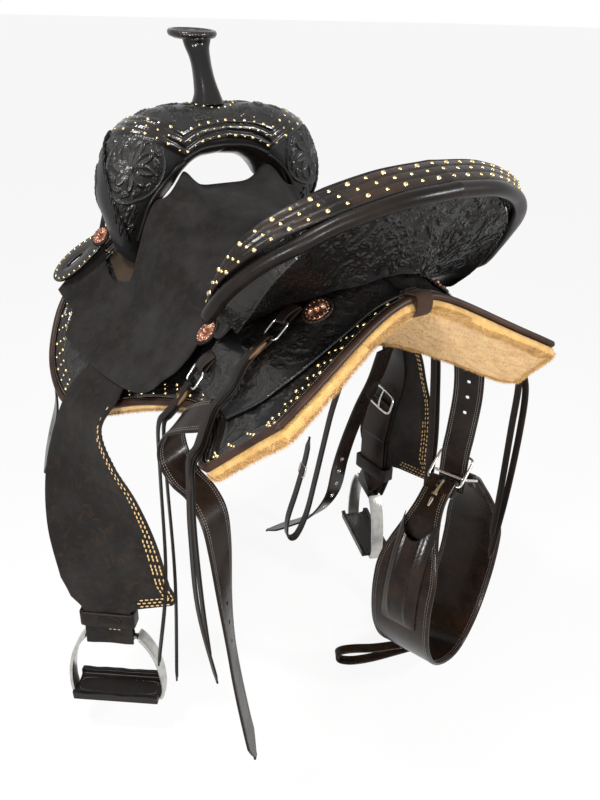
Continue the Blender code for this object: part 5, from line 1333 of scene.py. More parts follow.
def fender_lace(rows, outwards, foot, tail):
    """The buck stitches' places, ways ahead and ups: three lines down the rear edge, three at the corner."""
    places, aheads, ups = [], [], []
    rear_edge = rows[:, :3] - rows[:, 3:6] * rows[:, 7:8]
    for column in range(3):
        line = rear_edge + rows[:, 3:6] * (LACE_IN + LACE_GAP * column) \
            + outwards * (FENDER_THICK / 2 + 0.0004)
        along = lengths_along(line)
        first, last = along[14 + 10 * column], along[np.argmin(np.abs(rows[:, 2] - foot[2] + 0.028))]
        for s in np.arange(first + (column % 2) * LACE_PITCH / 2, last, LACE_PITCH):
            i = min(int(np.searchsorted(along, s)), len(line) - 2)
            if column < 2 or rows[i, 2] <= foot[2] + 0.075:
                places.append(line[i])
                aheads.append(line[i + 1] - line[i])
                ups.append(outwards[i])
    corner, below = tail[2], tail[3]
    for line in range(3):
        start = corner[:3] - corner[3:6] * (corner[7] * 0.97 - 0.004) + (0, 0, 0.002 + CORNER_GAP * line)
        end = below[:3] - below[3:6] * (below[7] * 0.90) + (0, 0, 0.004 + CORNER_GAP * line)
        for k in range(int(np.linalg.norm(end - start) / LACE_PITCH)):
            spot = start + unit(end - start) * (k + 0.5 * (line % 2)) * LACE_PITCH
            places.append(spot + outwards[-60] * (FENDER_THICK / 2 + 0.0006))
            aheads.append(end - start)
            ups.append(outwards[-60])
    return places, aheads, ups


fender_suede = roughout("fender_suede", (0.0092, 0.0080, 0.0073), (0.0185, 0.0170, 0.0160),
                        (0.032, 0.0185, 0.0115), 0.02)
buck_lace = thread("rawhide_lace", (0.60, 0.40, 0.17), 0.45)
fender_rows, fender_feet, fender_outs = {}, {}, {}
for side, label in SIDES:
    body = f"{label}_fender_group"
    smooth, tail, foot = fender_stations(side, label)
    rows = dense_rows(smooth, tail)
    outwards = unit(np.cross(rows[:, 3:6], unit(np.gradient(rows[:, :3], axis=0)))) * -side
    fender_rows[label], fender_feet[label], fender_outs[label] = rows, foot, outwards
    piece(f"{label}_fender_leather", skin(fender_plate(rows, outwards)), fender_suede,
          [f"{label}_fender"], body=body, crease=60)
    places, aheads, ups = fender_lace(rows, outwards, foot, tail)
    points, faces = copies(BEAD, places, ups, aheads, LACE)
    behind = points - np.repeat(np.array(ups), len(BEAD[0]), axis=0) * (FENDER_THICK + 0.0012)
    faces = list(faces) + [tuple(i + len(points) for i in f) for f in faces]
    piece(f"{label}_fender_lace", (np.vstack([points, behind]), faces), buck_lace, body=body)

# Stirrup leathers and hobble straps
# Each leather is a heavy strap behind the fender, looped round the stirrup's bolt and back up to a
# buckle. The hobble strap holds both plies together above the stirrup.

STRAP_THICK = 0.0034
LEATHER_WIDTH, LEATHER_GAP, LEATHER_RISE, LOOP_RADIUS = 0.062, 0.0042, 0.190, 0.0084
SET_IN = FENDER_THICK / 2 + LEATHER_GAP + STRAP_THICK / 2
LAP = SET_IN + STRAP_THICK + LEATHER_GAP
HOBBLE_RISE, HOBBLE_ROOM, HOBBLE_WIDTH = 0.047, 0.0007, 0.026
HOBBLE_FRONT = FENDER_THICK / 2 + HOBBLE_ROOM + STRAP_THICK / 2
HOBBLE_REAR = -(LAP + STRAP_THICK + HOBBLE_ROOM)
BUCKLE_WIRE, LEATHER_BUCKLE = 0.0022, 0.036
BADGE_SIZE, BADGE_SHIFT, TONGUE_LACE = (0.0185, 0.0100), 0.004, (0.0010, 0.0024, 0.0006)
BADGE_PROFILE = ((1.0, 0.0), (1.0, 0.0008), (0.93, 0.0013), (0.90, 0.0010), (0.85, 0.0011),
                 (0.60, 0.0019), (0.30, 0.0023), (0.02, 0.0024))

strap_leather = leather("strap_leather", (0.0052, 0.0043, 0.0040), (0.050, 0.026, 0.016), 0.30, 0.36, 0.36,
                        360.0, 0.00018)
steel = metal("buckle_steel", (0.62, 0.61, 0.58), 0.20, (0.16, 0.15, 0.14), 0.4, 260.0)


def rounded_frame(centre, along, across, length, width, corner=0.22, count=72):
    """Centre line of a wire frame: a rectangle with round corners."""
    turn = around(count)
    power = corner * 2
    c, s = np.cos(turn), np.sin(turn)
    u = np.sign(c) * np.abs(c) ** power * length / 2
    v = np.sign(s) * np.abs(s) ** power * width / 2
    return centre + u[:, None] * along + v[:, None] * across


def ring_of(name, path, radius, material, body, stands_for=()):
    """A closed wire."""
    piece(name, skin(tube(path, radius, 12, closed=True), closed_path=True), material, stands_for, body)


def stitch_lines(name, path, wides, ups, offsets, lift, body):
    """Rows of stitches along a strap, at distances across from its middle, on one face."""
    places, directions, normals = [], [], []
    for offset in offsets:
        line = path + wides * offset + ups * lift
        spots = np.arange(STITCH_PITCH, lengths_along(line)[-1] - STITCH_PITCH / 2, STITCH_PITCH)
        places.append(at_lengths(line, spots))
        directions.append(at_lengths(line, spots + 0.0005) - places[-1])
        share = spots / lengths_along(line)[-1] * (len(path) - 1)
        normals.append(ups[np.clip(share.astype(int), 0, len(path) - 1)])
    piece(name, copies(BEAD, np.vstack(places), np.vstack(normals), np.vstack(directions), STITCH),
          seam_thread, body=body)


def leather_route(rows, outs, bolt, wide, out):
    """The leather's way down behind the fender, round the bolt and back up, and its width's direction."""
    way = [row[:3] - o * SET_IN for row, o in zip(rows[6:-4], outs[6:-4])]
    wides = [row[3:6] for row in rows[6:-4]]
    for k in range(25):
        a = math.pi * k / 24
        way.append(bolt + out * LOOP_RADIUS * math.cos(a) - (0, 0, LOOP_RADIUS * math.sin(a)))
        wides.append(wide)
    way.append(bolt + (0, 0, 0.014) - out * LOOP_RADIUS * 0.6)
    wides.append(wide)
    for row, o in zip(rows[::-1], outs[::-1]):
        if bolt[2] + 0.028 < row[2] < bolt[2] + LEATHER_RISE:
            way.append(row[:3] - o * LAP)
            wides.append(row[3:6])
    way = np.array(way)
    turning, along = np.linspace(0, 1, 320), lengths_along(way) / lengths_along(way)[-1]
    return read_off(turning, along, way), unit(read_off(turning, along, np.array(wides)))


def leather_buckle(label, end, direction, wide):
    """The steel frame and prong at the leather's upper end."""
    inwards = unit(np.cross(wide, direction))
    inwards = inwards * (-1 if inwards[0] * end[0] > 0 else 1)
    middle = end + inwards * (STRAP_THICK / 2 + BUCKLE_WIRE + 0.001) + direction * 0.004
    ring_of(f"{label}_leather_buckle_frame",
            rounded_frame(middle, direction, wide, LEATHER_BUCKLE, LEATHER_WIDTH), BUCKLE_WIRE, steel,
            f"{label}_fender_group", [f"{label}_leather_buckle"])
    prong = np.array([middle - direction * 0.017, middle + inwards * 0.003,
                      middle + direction * 0.019 + inwards * 0.0015])
    piece(f"{label}_leather_buckle_prong",
          skin(tube(resample(spline(prong, 6), 14), np.linspace(0.0024, 0.0013, 14), 10)), steel,
          body=f"{label}_fender_group")


def hobble_loop(centre, wide, level_out):
    """The hobble strap's section at every place of its loop, round the fender's tongue and the leather."""
    loop = rounded_frame(centre + level_out * (HOBBLE_FRONT + HOBBLE_REAR) / 2, wide, level_out,
                         2 * (TONGUE_HALF + HOBBLE_ROOM * 3 + STRAP_THICK / 2),
                         HOBBLE_FRONT - HOBBLE_REAR, 0.10, 120)
    h, d = HOBBLE_WIDTH / 2, STRAP_THICK / 2
    lower = [(-h, -d), (-h, d * 0.4), (-h + 0.0008, d * 0.85), (-h + 0.002, d)]
    section = lower + [(-a, b) for a, b in lower[::-1]]
    middle = loop.mean(0)
    rings = []
    for p, t in zip(loop, unit(np.roll(loop, -1, 0) - np.roll(loop, 1, 0))):
        n = unit(np.cross(t, (0, 0, 1)))
        n = n * np.sign(np.dot(n, p - middle) + 1e-9)
        rings.append(ring_at(p, np.array((0, 0, 1)), n, section))
    return rings


def badge(place, wide, level_out):
    """A plain oval badge of leather with a raised rim and a domed middle."""
    turn = around(48)
    return [place + np.outer(np.cos(turn) * BADGE_SIZE[0] * share, wide)
            + np.outer(np.sin(turn) * BADGE_SIZE[1] * share, (0, 0, 1)) + level_out * high
            for share, high in BADGE_PROFILE]


bolts = {}
for side, label in SIDES:
    body = f"{label}_fender_group"
    rows, foot, outs = fender_rows[label], fender_feet[label], fender_outs[label]
    wide, out = rows[-1, 3:6], outs[-1]
    bolt = foot[:3] - out * (SET_IN + LOOP_RADIUS) - (0, 0, TONGUE_ROWS[-1][0])
    bolts[label] = bolt, wide, out
    path, wides = leather_route(rows, outs, bolt, wide, out)
    rings, tangents, wides, ups = strap_rings(path, wides, LEATHER_WIDTH, STRAP_THICK)
    piece(f"{label}_stirrup_leather_strap", skin(rings), strap_leather, [f"{label}_stirrup_leather"],
          body=body)
    leather_buckle(label, path[-1], tangents[-1], wides[-1])
    level_out = unit(np.cross(foot[3:6], (0, 0, -1))) * -side
    centre = np.array([foot[0], foot[1], bolt[2] + HOBBLE_RISE])
    piece(f"{label}_hobble_leather", skin(hobble_loop(centre, foot[3:6], level_out), closed_path=True),
          strap_leather, [f"{label}_hobble_strap"], body=body)
    face = centre + level_out * (HOBBLE_FRONT + STRAP_THICK / 2) + foot[3:6] * BADGE_SHIFT * side
    piece(f"{label}_hobble_badge", skin(badge(face, foot[3:6], level_out)), smooth_leather, body=body)
    spots = [face - foot[3:6] * (0.006 + 0.0065 * k) - (0, 0, 0.0175)
             - level_out * (STRAP_THICK + HOBBLE_ROOM - 0.0006) for k in (-1, 0, 1)]
    piece(f"{label}_tongue_lace", copies(BEAD, spots, [level_out] * 3, foot[3:6], TONGUE_LACE),
          buck_lace, body=body)

# Stirrups
# A bell-shaped bow cast in aluminium and brushed, its edges polished by wear, with a tread wrapped
# in black leather whose two long edges stand up as lips.

STIRRUP_BOW = [(0.041, 0.003), (0.052, -0.012), (0.063, -0.036), (0.070, -0.066), (0.072, -0.096),
               (0.070, -0.118)]
BOLT_LINE = [(-0.037, 0.0), (-0.02, 0.0), (0.0, 0.0), (0.02, 0.0), (0.037, 0.0)]
BOW_DEEP, BOW_THICK, BOLT_SHARE, BOW_ROUND = 0.024, 0.0055, 0.40, 0.0008
TREAD_DEPTH, TREAD_CLEAR, LIP_HIGH = 0.052, 0.0006, 0.015

aluminium = metal("stirrup_aluminium", (0.52, 0.51, 0.48), 0.30, (0.20, 0.19, 0.18), 0.5, 90.0)
for side, label in SIDES:
    body = f"{label}_stirrup"
    bolt, wide, out = bolts[label]
    arm = resample(spline(STIRRUP_BOW, 10), 46)
    profile = np.vstack([arm[::-1] * (-1, 1), BOLT_LINE, arm])
    path = bolt + profile[:, :1] * wide + profile[:, 1:] * (0, 0, 1)
    tangents = unit(np.roll(path, -1, 0) - np.roll(path, 1, 0))
    rings = []
    for (across, high), p, t in zip(profile, path, tangents):
        n = unit(np.cross(t, out))
        share = BOLT_SHARE if abs(across) < BOLT_LINE[-1][0] + 0.0002 and high > -0.001 else 1.0
        h, d = BOW_DEEP / 2 * share, BOW_THICK / 2
        upper = [(-h, 0), (-h + BOW_ROUND, d * 0.8), (-h * 0.7, d), (h * 0.7, d), (h - BOW_ROUND, d * 0.8)]
        rings.append(ring_at(p, out, n, upper + [(-a, -b) for a, b in upper]))
    piece(f"{label}_stirrup_bow_casting", skin(rings, closed_path=True), aluminium,
          [f"{label}_stirrup_bow"], body=body, crease=40)
    top = STIRRUP_BOW[-1][1] + BOW_THICK / 2 + 0.0005
    half, d = STIRRUP_BOW[-1][0] - BOW_THICK / 2 - TREAD_CLEAR, TREAD_DEPTH / 2
    tread = contour([(-d, 0.0), (d, 0.0), (d + 0.002, LIP_HIGH), (d - 0.005, LIP_HIGH), (d - 0.009, 0.006),
                     (0.009 - d, 0.006), (0.005 - d, LIP_HIGH), (-d - 0.002, LIP_HIGH)], 0.0012, 70)
    tread = tread + (0, 0.0002)
    middle = np.array((0, 0.006))
    places = np.concatenate([[-half, -half + 0.0006, -half + 0.002],
                             np.linspace(-half + 0.006, half - 0.006, 24),
                             [half - 0.002, half - 0.0006, half]])
    rings = []
    for a in places:
        squeeze = 0.93 if abs(a) == half else 0.985 if abs(a) > half - 0.001 else 1.0
        shape = (tread - middle) * squeeze + middle
        sway = 0.0006 * math.sin(a * 110) + 0.0004 * math.sin(a * 230 + 1)
        rings.append(bolt + wide * a + shape[:, :1] * out
                     + (top + shape[:, 1:] + sway * (shape[:, 1:] > 0.010)) * (0, 0, 1))
    piece(f"{label}_stirrup_tread_leather", skin(rings), smooth_leather, [f"{label}_stirrup_tread"],
          body=body, crease=50)
    pad_line = rounded_frame(bolt + np.array((0, 0, top + 0.0064)), wide, out, 2 * half - 0.012,
                             TREAD_DEPTH - 0.026, 0.12, 150)
    ahead = (np.roll(pad_line, -1, 0) - pad_line)[::2]
    piece(f"{label}_tread_stitches",
          copies(BEAD, pad_line[::2], [(0, 0, 1)] * len(ahead), ahead, (0.0004, 0.0011, 0.0004)),
          seam_thread, body=body)

# Conchos and latigo keepers
# Stamped copper conchos, each a ring of slender petals round a domed bead, screwed down on a dark
# beaded rosette. Two of them hold the slotted leather keepers that take the latigo's end.

CONCHO_RADIUS, CONCHO_SEAT, CONCHO_PETALS = 0.0155, 0.0006, 14
REAR_CONCHO, SEAT_CONCHO = (0.075, -0.212), (0.1505, -0.062)
CONCHO_ROWS, CONCHO_SIDES = 44, 168
ROSETTE_RADIUS, ROSETTE_LOBES = 0.0186, 20
KEEPER_TOP, KEEPER_LOW = (0.1464, 0.2548, -0.0108), (0.2264, 0.3028, -0.0868)
KEEPER_ACROSS, KEEPER_HALF, KEEPER_THICK = (0.0, 1.0, 0.2), 0.024, 0.004
KEEPER_SLOT_PLACE, KEEPER_SLOT_HALF, KEEPER_STUDS = 0.62, (0.017, 0.0035), 22

copper = metal("antique_copper", (0.36, 0.175, 0.115), 0.30, (0.020, 0.010, 0.008), 0.85, 420.0)
rosette_leather = leather("rosette_leather", (0.0060, 0.0045, 0.0040), RUBBED, 0.4, 0.3, 0.5, 380.0,
                          relief=True)


def body_of(node):
    """The body that a node of the model belongs to."""
    return frame["nodes"][node]["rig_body"]


def rest_on(surface, x, y, radius):
    """Where a flat disc comes to rest on a draped surface: its place and its normal."""
    turn = around(8)
    ring = surface(x + radius * np.cos(turn), y + radius * np.sin(turn) * 0.9, np.zeros(8))
    normal = unit(np.cross(ring[0] - ring[4], ring[2] - ring[6]))
    normal = normal * np.sign(normal[2])
    middle = surface(np.array([x]), np.array([y]), np.zeros(1))[0]
    rise = max((p - middle) @ normal for p in [*ring, middle])
    return middle + normal * (rise + CONCHO_SEAT), normal


def disc_rings(place, normal, ahead, radii, heights):
    """Rings of points round a centre, one for each row of radii and heights."""
    ahead = unit(ahead - normal * (ahead @ normal))
    across = np.cross(ahead, normal)
    turn = around(radii.shape[1])
    return [place + (r * np.cos(turn))[:, None] * across + (r * np.sin(turn))[:, None] * ahead
            + h[:, None] * normal for r, h in zip(radii, heights)]


def concho(node, place, normal, ahead, radius):
    """A petalled copper concho on its leather rosette."""
    turn = (around(CONCHO_SIDES))[None]
    share = np.linspace(1, 0.004, CONCHO_ROWS)[:, None]
    petal = np.abs(np.cos(CONCHO_PETALS / 2 * turn))
    body = np.sin(math.pi * np.clip((share - 0.24) / 0.60, 0, 1)) ** 0.6
    height = 0.0006 + 0.0017 * body * np.sqrt(np.clip(1 - ((1 - petal) / 0.62) ** 2, 0, 1))
    height = height - 0.0005 * body * np.exp(-((1 - petal) / 0.015) ** 2)
    bead = np.clip(1 - (share / 0.25) ** 2, 0, 1)
    height = np.maximum(height, 0.0012 + 0.0052 * np.sqrt(bead) * (bead > 0))
    nearest = np.round((turn / (2 * math.pi) * CONCHO_PETALS) - 0.5) + 0.5
    spin = turn - nearest * 2 * math.pi / CONCHO_PETALS
    away = np.sqrt((share * np.cos(spin) - 0.885) ** 2 + (share * np.sin(spin)) ** 2) / 0.082
    height = np.maximum(height, 0.0006 + 0.0020 * np.sqrt(np.clip(1 - away ** 2, 0, 1)) * (away < 1))
    height = height * np.clip((1.0 - share) / 0.03 + 0.35, 0, 1)
    wide = radius * share * (1 + 0.022 * np.cos(CONCHO_PETALS * turn) * share)
    rings = disc_rings(place + normal * 0.0016, normal, ahead, np.vstack([wide[:1], wide]),
                       np.vstack([np.full_like(height[:1], -0.0012), height]))
    piece(f"{node}_metal", skin(rings), copper, [node], body=body_of(node),
          crease=50)
    share = np.array([1.0, 1.0, 0.985, 0.95, 0.90, 0.86, 0.82, 0.5])[:, None]
    lobes = 1 + 0.035 * np.abs(np.cos(ROSETTE_LOBES / 2 * turn)) * (share > 0.8)
    wide = ROSETTE_RADIUS * share * lobes * radius / CONCHO_RADIUS
    rise = np.array([-0.0014, 0.0002, 0.0012, 0.0020, 0.0022, 0.0016, 0.0010, 0.0010])[:, None]
    beads = 0.0007 * (np.abs(np.cos(ROSETTE_LOBES / 2 * turn)) - 0.5) * (share > 0.84) * (share < 0.99)
    rings = disc_rings(place, normal, ahead, wide, rise + beads)
    # painted shade: the relief falls towards the middle, so the leather darkens where the concho overhangs it
    relief = np.repeat([1.0, 1.0, 0.9, 0.8, 0.7, 0.2, 0.1, 0.1], CONCHO_SIDES)
    piece(f"{node}_rosette", skin(rings), rosette_leather, body=body_of(node), relief=relief)


def jockey_top(x, y, lift):
    return on_jockey(x, y, lift + JOCKEY_THICK)


for side, label in SIDES:
    for name, surface, (x, y) in (("rear", jockey_top, REAR_CONCHO), ("seat", on_seat, SEAT_CONCHO)):
        place, normal = rest_on(surface, side * x, y, CONCHO_RADIUS)
        concho(f"{label}_{name}_concho", place, normal, np.array([0, 1.0, 0]), CONCHO_RADIUS)
    top, low = np.array(KEEPER_TOP) * (side, 1, 1), np.array(KEEPER_LOW) * (side, 1, 1)
    along, length = unit(low - top), np.linalg.norm(low - top)
    wide = np.array(KEEPER_ACROSS) * (side, 1, 1)
    wide = unit(wide - along * (wide @ along))
    normal = unit(np.cross(along, wide))
    normal = normal * np.sign(normal[2])
    turn = around(180)
    outer = np.column_stack([length * (0.5 + 0.5 * np.cos(turn)),
                             KEEPER_HALF * (1 + 0.28 * np.cos(turn)) * np.sin(turn)])
    slot = np.column_stack([length * KEEPER_SLOT_PLACE + KEEPER_SLOT_HALF[0] * np.cos(turn),
                            KEEPER_SLOT_HALF[1] * np.sin(turn)])
    loops = [(0.0, 0.0), (0.0, 0.72), (0.010, 0.90), (0.035, 1.0), (0.09, 1.0), (0.10, 0.90),
             (0.115, 0.90), (0.125, 1.0), (0.30, 1.0), (0.55, 1.0), (0.84, 1.0), (0.87, 0.9),
             (0.90, 1.0), (0.98, 0.96), (1.0, 0.75), (1.0, 0.0)]
    rings = []
    for share, high in loops:
        flat = outer + (slot - outer) * share
        rings.append(top + flat[:, :1] * along + flat[:, 1:] * wide + normal * (high * KEEPER_THICK))
    node = f"{label}_latigo_keeper"
    # painted shade: the keeper's grooves get a low relief, which darkens them
    relief = np.repeat([0.3 if high == 0.9 else 1.0 for _, high in loops], len(turn))
    piece(f"{node}_leather", skin(rings, closed_path=True), tooled, [node], body=body_of(node),
          relief=relief)
    spots = resample(np.vstack([outer, outer[:1]]), KEEPER_STUDS + 1)[:-1]
    spots = spots + (np.array([length * 0.55, 0]) - spots) * 0.115
    spots = spots[np.hypot(spots[:, 0] - CONCHO_RADIUS * 1.05, spots[:, 1]) > ROSETTE_RADIUS * 1.25]
    places = top + spots[:, :1] * along + spots[:, 1:] * wide + normal * KEEPER_THICK
    piece(f"{node}_studs", copies(STUD, places, np.tile(normal, (len(places), 1)), along, SMALL_STUD),
          brass, body=body_of(node))
    place = top + along * CONCHO_RADIUS * 1.05 + normal * (KEEPER_THICK + CONCHO_SEAT)
    concho(f"{label}_keeper_concho", place, normal, along, CONCHO_RADIUS * 0.9)

# Dees and saddle strings
# Four steel dees in folded leather clips. Each holds a thin latigo string, doubled over its lower
# bar and braided through its own slit just below, whose two tails hang free for tying down gear.

STRING_WIDTH, STRING_THICK, STRING_LAY, STRING_DROP = 0.011, 0.0026, 0.0026, 0.0024
DEE_WIRE, DEE_LENGTH, DEE_WIDTH = 0.0017, 0.026, 0.030
CLIP_WIDTH, CLIP_THICK, CLIP_LENGTH = 0.019, 0.0024, 0.024
BRAID_REACH, BRAID_HALVES, BRAID_SIDES = (0.040, 0.012), (0.0073, 0.0052), 20
REAR_DEE, FRONT_DEE = (0.107, -0.186, -0.1), (0.170, -0.084, 0.3)
REAR_STRING_LAID = [(0.142, -0.180), (0.166, -0.172), (0.190, -0.172), (0.212, -0.192),
                    (0.230, -0.212), (0.245, -0.222)]
REAR_STRING_TAILS = {
    "near": ([(-0.2590, -0.224, -0.172), (-0.2575, -0.220, -0.230), (-0.250, -0.215, -0.339),
              (-0.242, -0.215, -0.440)],
             [(-0.2665, -0.230, -0.172), (-0.2660, -0.228, -0.232), (-0.259, -0.223, -0.345),
              (-0.246, -0.240, -0.455)]),
    "off": ([(0.2590, -0.226, -0.172), (0.2580, -0.227, -0.250), (0.255, -0.229, -0.360),
             (0.251, -0.229, -0.442)],
            [(0.2665, -0.232, -0.174), (0.2670, -0.236, -0.250), (0.263, -0.234, -0.370),
             (0.257, -0.227, -0.486)])}
FRONT_STRING_LAID = [(0.204, -0.084), (0.213, -0.083)]
FRONT_STRING_TAILS = {
    "near": ([(-0.2270, -0.083, -0.168), (-0.2300, -0.088, -0.240), (-0.232, -0.098, -0.400),
              (-0.237, -0.091, -0.591)],
             [(-0.2345, -0.083, -0.168), (-0.2385, -0.088, -0.240), (-0.244, -0.094, -0.400),
              (-0.258, -0.078, -0.560)]),
    "off": ([(0.2270, -0.083, -0.168), (0.2290, -0.090, -0.240), (0.228, -0.098, -0.330),
             (0.228, -0.100, -0.470)],
            [(0.2345, -0.083, -0.168), (0.2380, -0.090, -0.240), (0.238, -0.098, -0.330),
             (0.239, -0.094, -0.440)])}

string_leather = leather("string_leather", (0.0050, 0.0040, 0.0036), (0.050, 0.028, 0.016), 0.20, 0.34,
                         0.34, 500.0)
cut_leather = leather("cut_leather", (0.10, 0.052, 0.024), (0.20, 0.12, 0.06), 0.8, 0.6, 0.6, 500.0)


def braid_rings(path, wides, ups, first, last, shift):
    """Sections of the braid over a stretch of the string, with the plait's bulges."""
    spots = path[first:last] + shift
    turn = around(BRAID_SIDES)
    rings = []
    for k, p in enumerate(spots):
        weave = 0.5 + 0.5 * np.cos(2 * turn + 1.15 * k)
        grow = math.sin(math.pi * (k + 0.5) / len(spots)) ** 0.35
        w = np.cos(turn) * BRAID_HALVES[0] * grow * (0.86 + 0.14 * weave)
        h = np.sin(turn) * BRAID_HALVES[1] * grow * (0.80 + 0.20 * weave)
        rings.append(p + w[:, None] * wides[first + k] + h[:, None] * ups[first + k])
    return rings


def dee_and_string(side, label, dee, drop, laid, tails):
    """One dee in its clip, with its string; drop is how far under the jockey's top the dee lies."""
    x, y, ahead = dee

    def base(px, py, lift):
        return on_jockey(px, py, lift + JOCKEY_THICK - drop)

    seat_point = rest_on(base, side * x, y, DEE_WIDTH / 2)[0]
    step = base(np.array([side * (x + 0.01)]), np.array([y + ahead * 0.01]), np.zeros(1))[0]
    along = unit(step - seat_point)
    normal = square_to(back_height, np.array([side * x]), np.array([y]))[0]
    normal = unit(normal - along * (normal @ along))
    across = np.cross(normal, along)
    lay = STRING_THICK / 2 + STRING_LAY
    bend = DEE_WIRE + STRING_THICK / 2 + SEAM
    centre = seat_point + normal * (lay + bend)
    node = f"{label}_string_dee"
    ring_of(f"{node}_wire", rounded_frame(centre, along, across, DEE_LENGTH, DEE_WIDTH, 0.20), DEE_WIRE,
            steel, body_of(node), [node])
    upper_bar = centre - along * DEE_LENGTH / 2
    near_by = DEE_WIRE + CLIP_THICK / 2 + 0.0002
    clip = [upper_bar - along * CLIP_LENGTH - normal * (lay + bend - CLIP_THICK * 0.6),
            upper_bar - along * CLIP_LENGTH * 0.4 - normal * (near_by + 0.0010)]
    for k in range(9):
        a = math.pi * (k / 8 - 0.5)
        clip.append(upper_bar + (along * math.cos(a) + normal * math.sin(a)) * near_by)
    clip += [upper_bar - along * CLIP_LENGTH * 0.4 + normal * (near_by - 0.0006),
             upper_bar - along * CLIP_LENGTH - normal * (lay + bend - CLIP_THICK * 1.7)]
    clip_path = resample(spline(clip, 6), 70)
    piece(f"{node}_clip", skin(strap_rings(clip_path, across, CLIP_WIDTH, CLIP_THICK)[0]), strap_leather)

    bar = centre + along * DEE_LENGTH / 2
    turn = [math.pi * k / 10 for k in range(11)]
    hairpin = [bar + normal * bend * math.cos(t) - along * bend * math.sin(t) for t in turn]
    px, py = (np.array(laid) * (side, 1)).T
    over = base(px, py, np.full(len(px), 2 * bend + lay))
    under = base(px, py, np.full(len(px), lay))
    path = np.vstack([np.array(tails[1])[::-1], over[::-1], hairpin, under, tails[0]])
    path = resample(spline(path, 6), 330)
    node = f"{label}_saddle_string"
    reach = lengths_along(path)
    end = np.minimum(reach, reach[-1] - reach)
    width = STRING_WIDTH * np.clip(end / 0.014, 0.30, 1.0)
    rings, _, wides, ups = strap_rings(path, across, width, STRING_THICK)
    piece(f"{node}_leather", skin(rings), string_leather, [node], body=body_of(node))
    turn_at = int(np.argmin(np.linalg.norm(path - hairpin[5], axis=1)))
    first, last = (turn_at - int(far / (reach[-1] / len(path))) for far in BRAID_REACH)
    rings = braid_rings(path, wides, ups, first, last, -normal * bend)
    piece(f"{node}_braid", skin(rings), cut_leather if side < 0 else string_leather, body=body_of(node))


for side, label in SIDES:
    dee_and_string(side, f"{label}_rear", REAR_DEE, 0.0, REAR_STRING_LAID, REAR_STRING_TAILS[label])
    dee_and_string(side, f"{label}_front", FRONT_DEE, JOCKEY_THICK + STRING_DROP, FRONT_STRING_LAID,
                   FRONT_STRING_TAILS[label])

# Billets, latigo and tie strap
# Strong straps that hold the cinches to the tree: two plies of latigo leather, stitched along both
# edges and punched with a row of holes, oiled until the surface shines.

NEAR_REAR_BILLET = [(-0.209, -0.165, -0.1210), (-0.217, -0.138, -0.134), (-0.223, -0.112, -0.152),
                    (-0.224, -0.098, -0.178), (-0.224, -0.102, -0.204), (-0.221, -0.126, -0.222),
                    (-0.217, -0.158, -0.228), (-0.214, -0.184, -0.248), (-0.212, -0.194, -0.290),
                    (-0.210, -0.202, -0.380), (-0.206, -0.212, -0.470), (-0.200, -0.230, -0.560),
                    (-0.195, -0.246, -0.620)]
OFF_BILLET = [(0.205, 0.003, -0.1912), (0.203, 0.020, -0.247), (0.201, 0.048, -0.310),
              (0.200, 0.080, -0.395), (0.200, 0.100, -0.460), (0.195, 0.112, -0.530),
              (0.172, 0.130, -0.578), (0.138, 0.158, -0.606), (0.100, 0.198, -0.634)]
OFF_TIE_STRAP = [(0.2358, 0.108, -0.2060), (0.214, 0.108, -0.248), (0.196, 0.108, -0.300),
                 (0.178, 0.106, -0.350), (0.162, 0.104, -0.410), (0.146, 0.104, -0.480),
                 (0.130, 0.106, -0.550), (0.110, 0.110, -0.595), (0.092, 0.112, -0.590),
                 (0.090, 0.110, -0.550), (0.106, 0.106, -0.490), (0.120, 0.102, -0.430),
                 (0.128, 0.100, -0.380)]
NEAR_LATIGO = [(-0.2714, 0.214, -0.2144), (-0.271, 0.228, -0.268), (-0.287, 0.231, -0.322),
               (-0.303, 0.231, -0.378)]
OFF_REAR_BILLET = [(0.2115, -0.157, -0.1385), (0.2230, -0.161, -0.161), (0.226, -0.164, -0.210),
                   (0.220, -0.165, -0.270), (0.215, -0.165, -0.310), (0.215, -0.165, -0.372)]
BILLET_WIDTH, TIE_WIDTH, HOLE_RADIUS = 0.045, 0.017, 0.0030
EDGE_STITCH, EYELET_WIRE = 0.0042, 0.0009
TIE_STEPS, TIE_BUCKLE_AT, TIE_BUCKLE, TIE_BUCKLE_WIRE = 260, 232, (0.022, 0.025), 0.0013

billet_leather = leather("billet_leather", (0.0058, 0.0042, 0.0036), (0.042, 0.022, 0.013), 0.25, 0.24,
                         0.24, 300.0, 0.00016, coat=0.05)


def grid_faces(keep, turned=False):
    """Faces over two layers of a grid's kept cells, with walls round the edge and every hole."""
    rows, cells = keep.shape
    half = (rows + 1) * (cells + 1)
    faces = []
    for i, j in zip(*np.nonzero(keep)):
        a, b = i * (cells + 1) + j, (i + 1) * (cells + 1) + j
        caps = [(a, a + 1, b + 1, b), (a + half, b + half, b + half + 1, a + half + 1)]
        faces += [(f[0], *f[:0:-1]) for f in caps] if turned else caps
        for di, dj, p, q in ((-1, 0, a, a + 1), (1, 0, b, b + 1), (0, -1, a, b), (0, 1, a + 1, b + 1)):
            ni, nj = i + di, j + dj
            if not (0 <= ni < rows and 0 <= nj < cells) or not keep[ni, nj]:
                faces.append((p, q, q + half, p + half))
    return faces


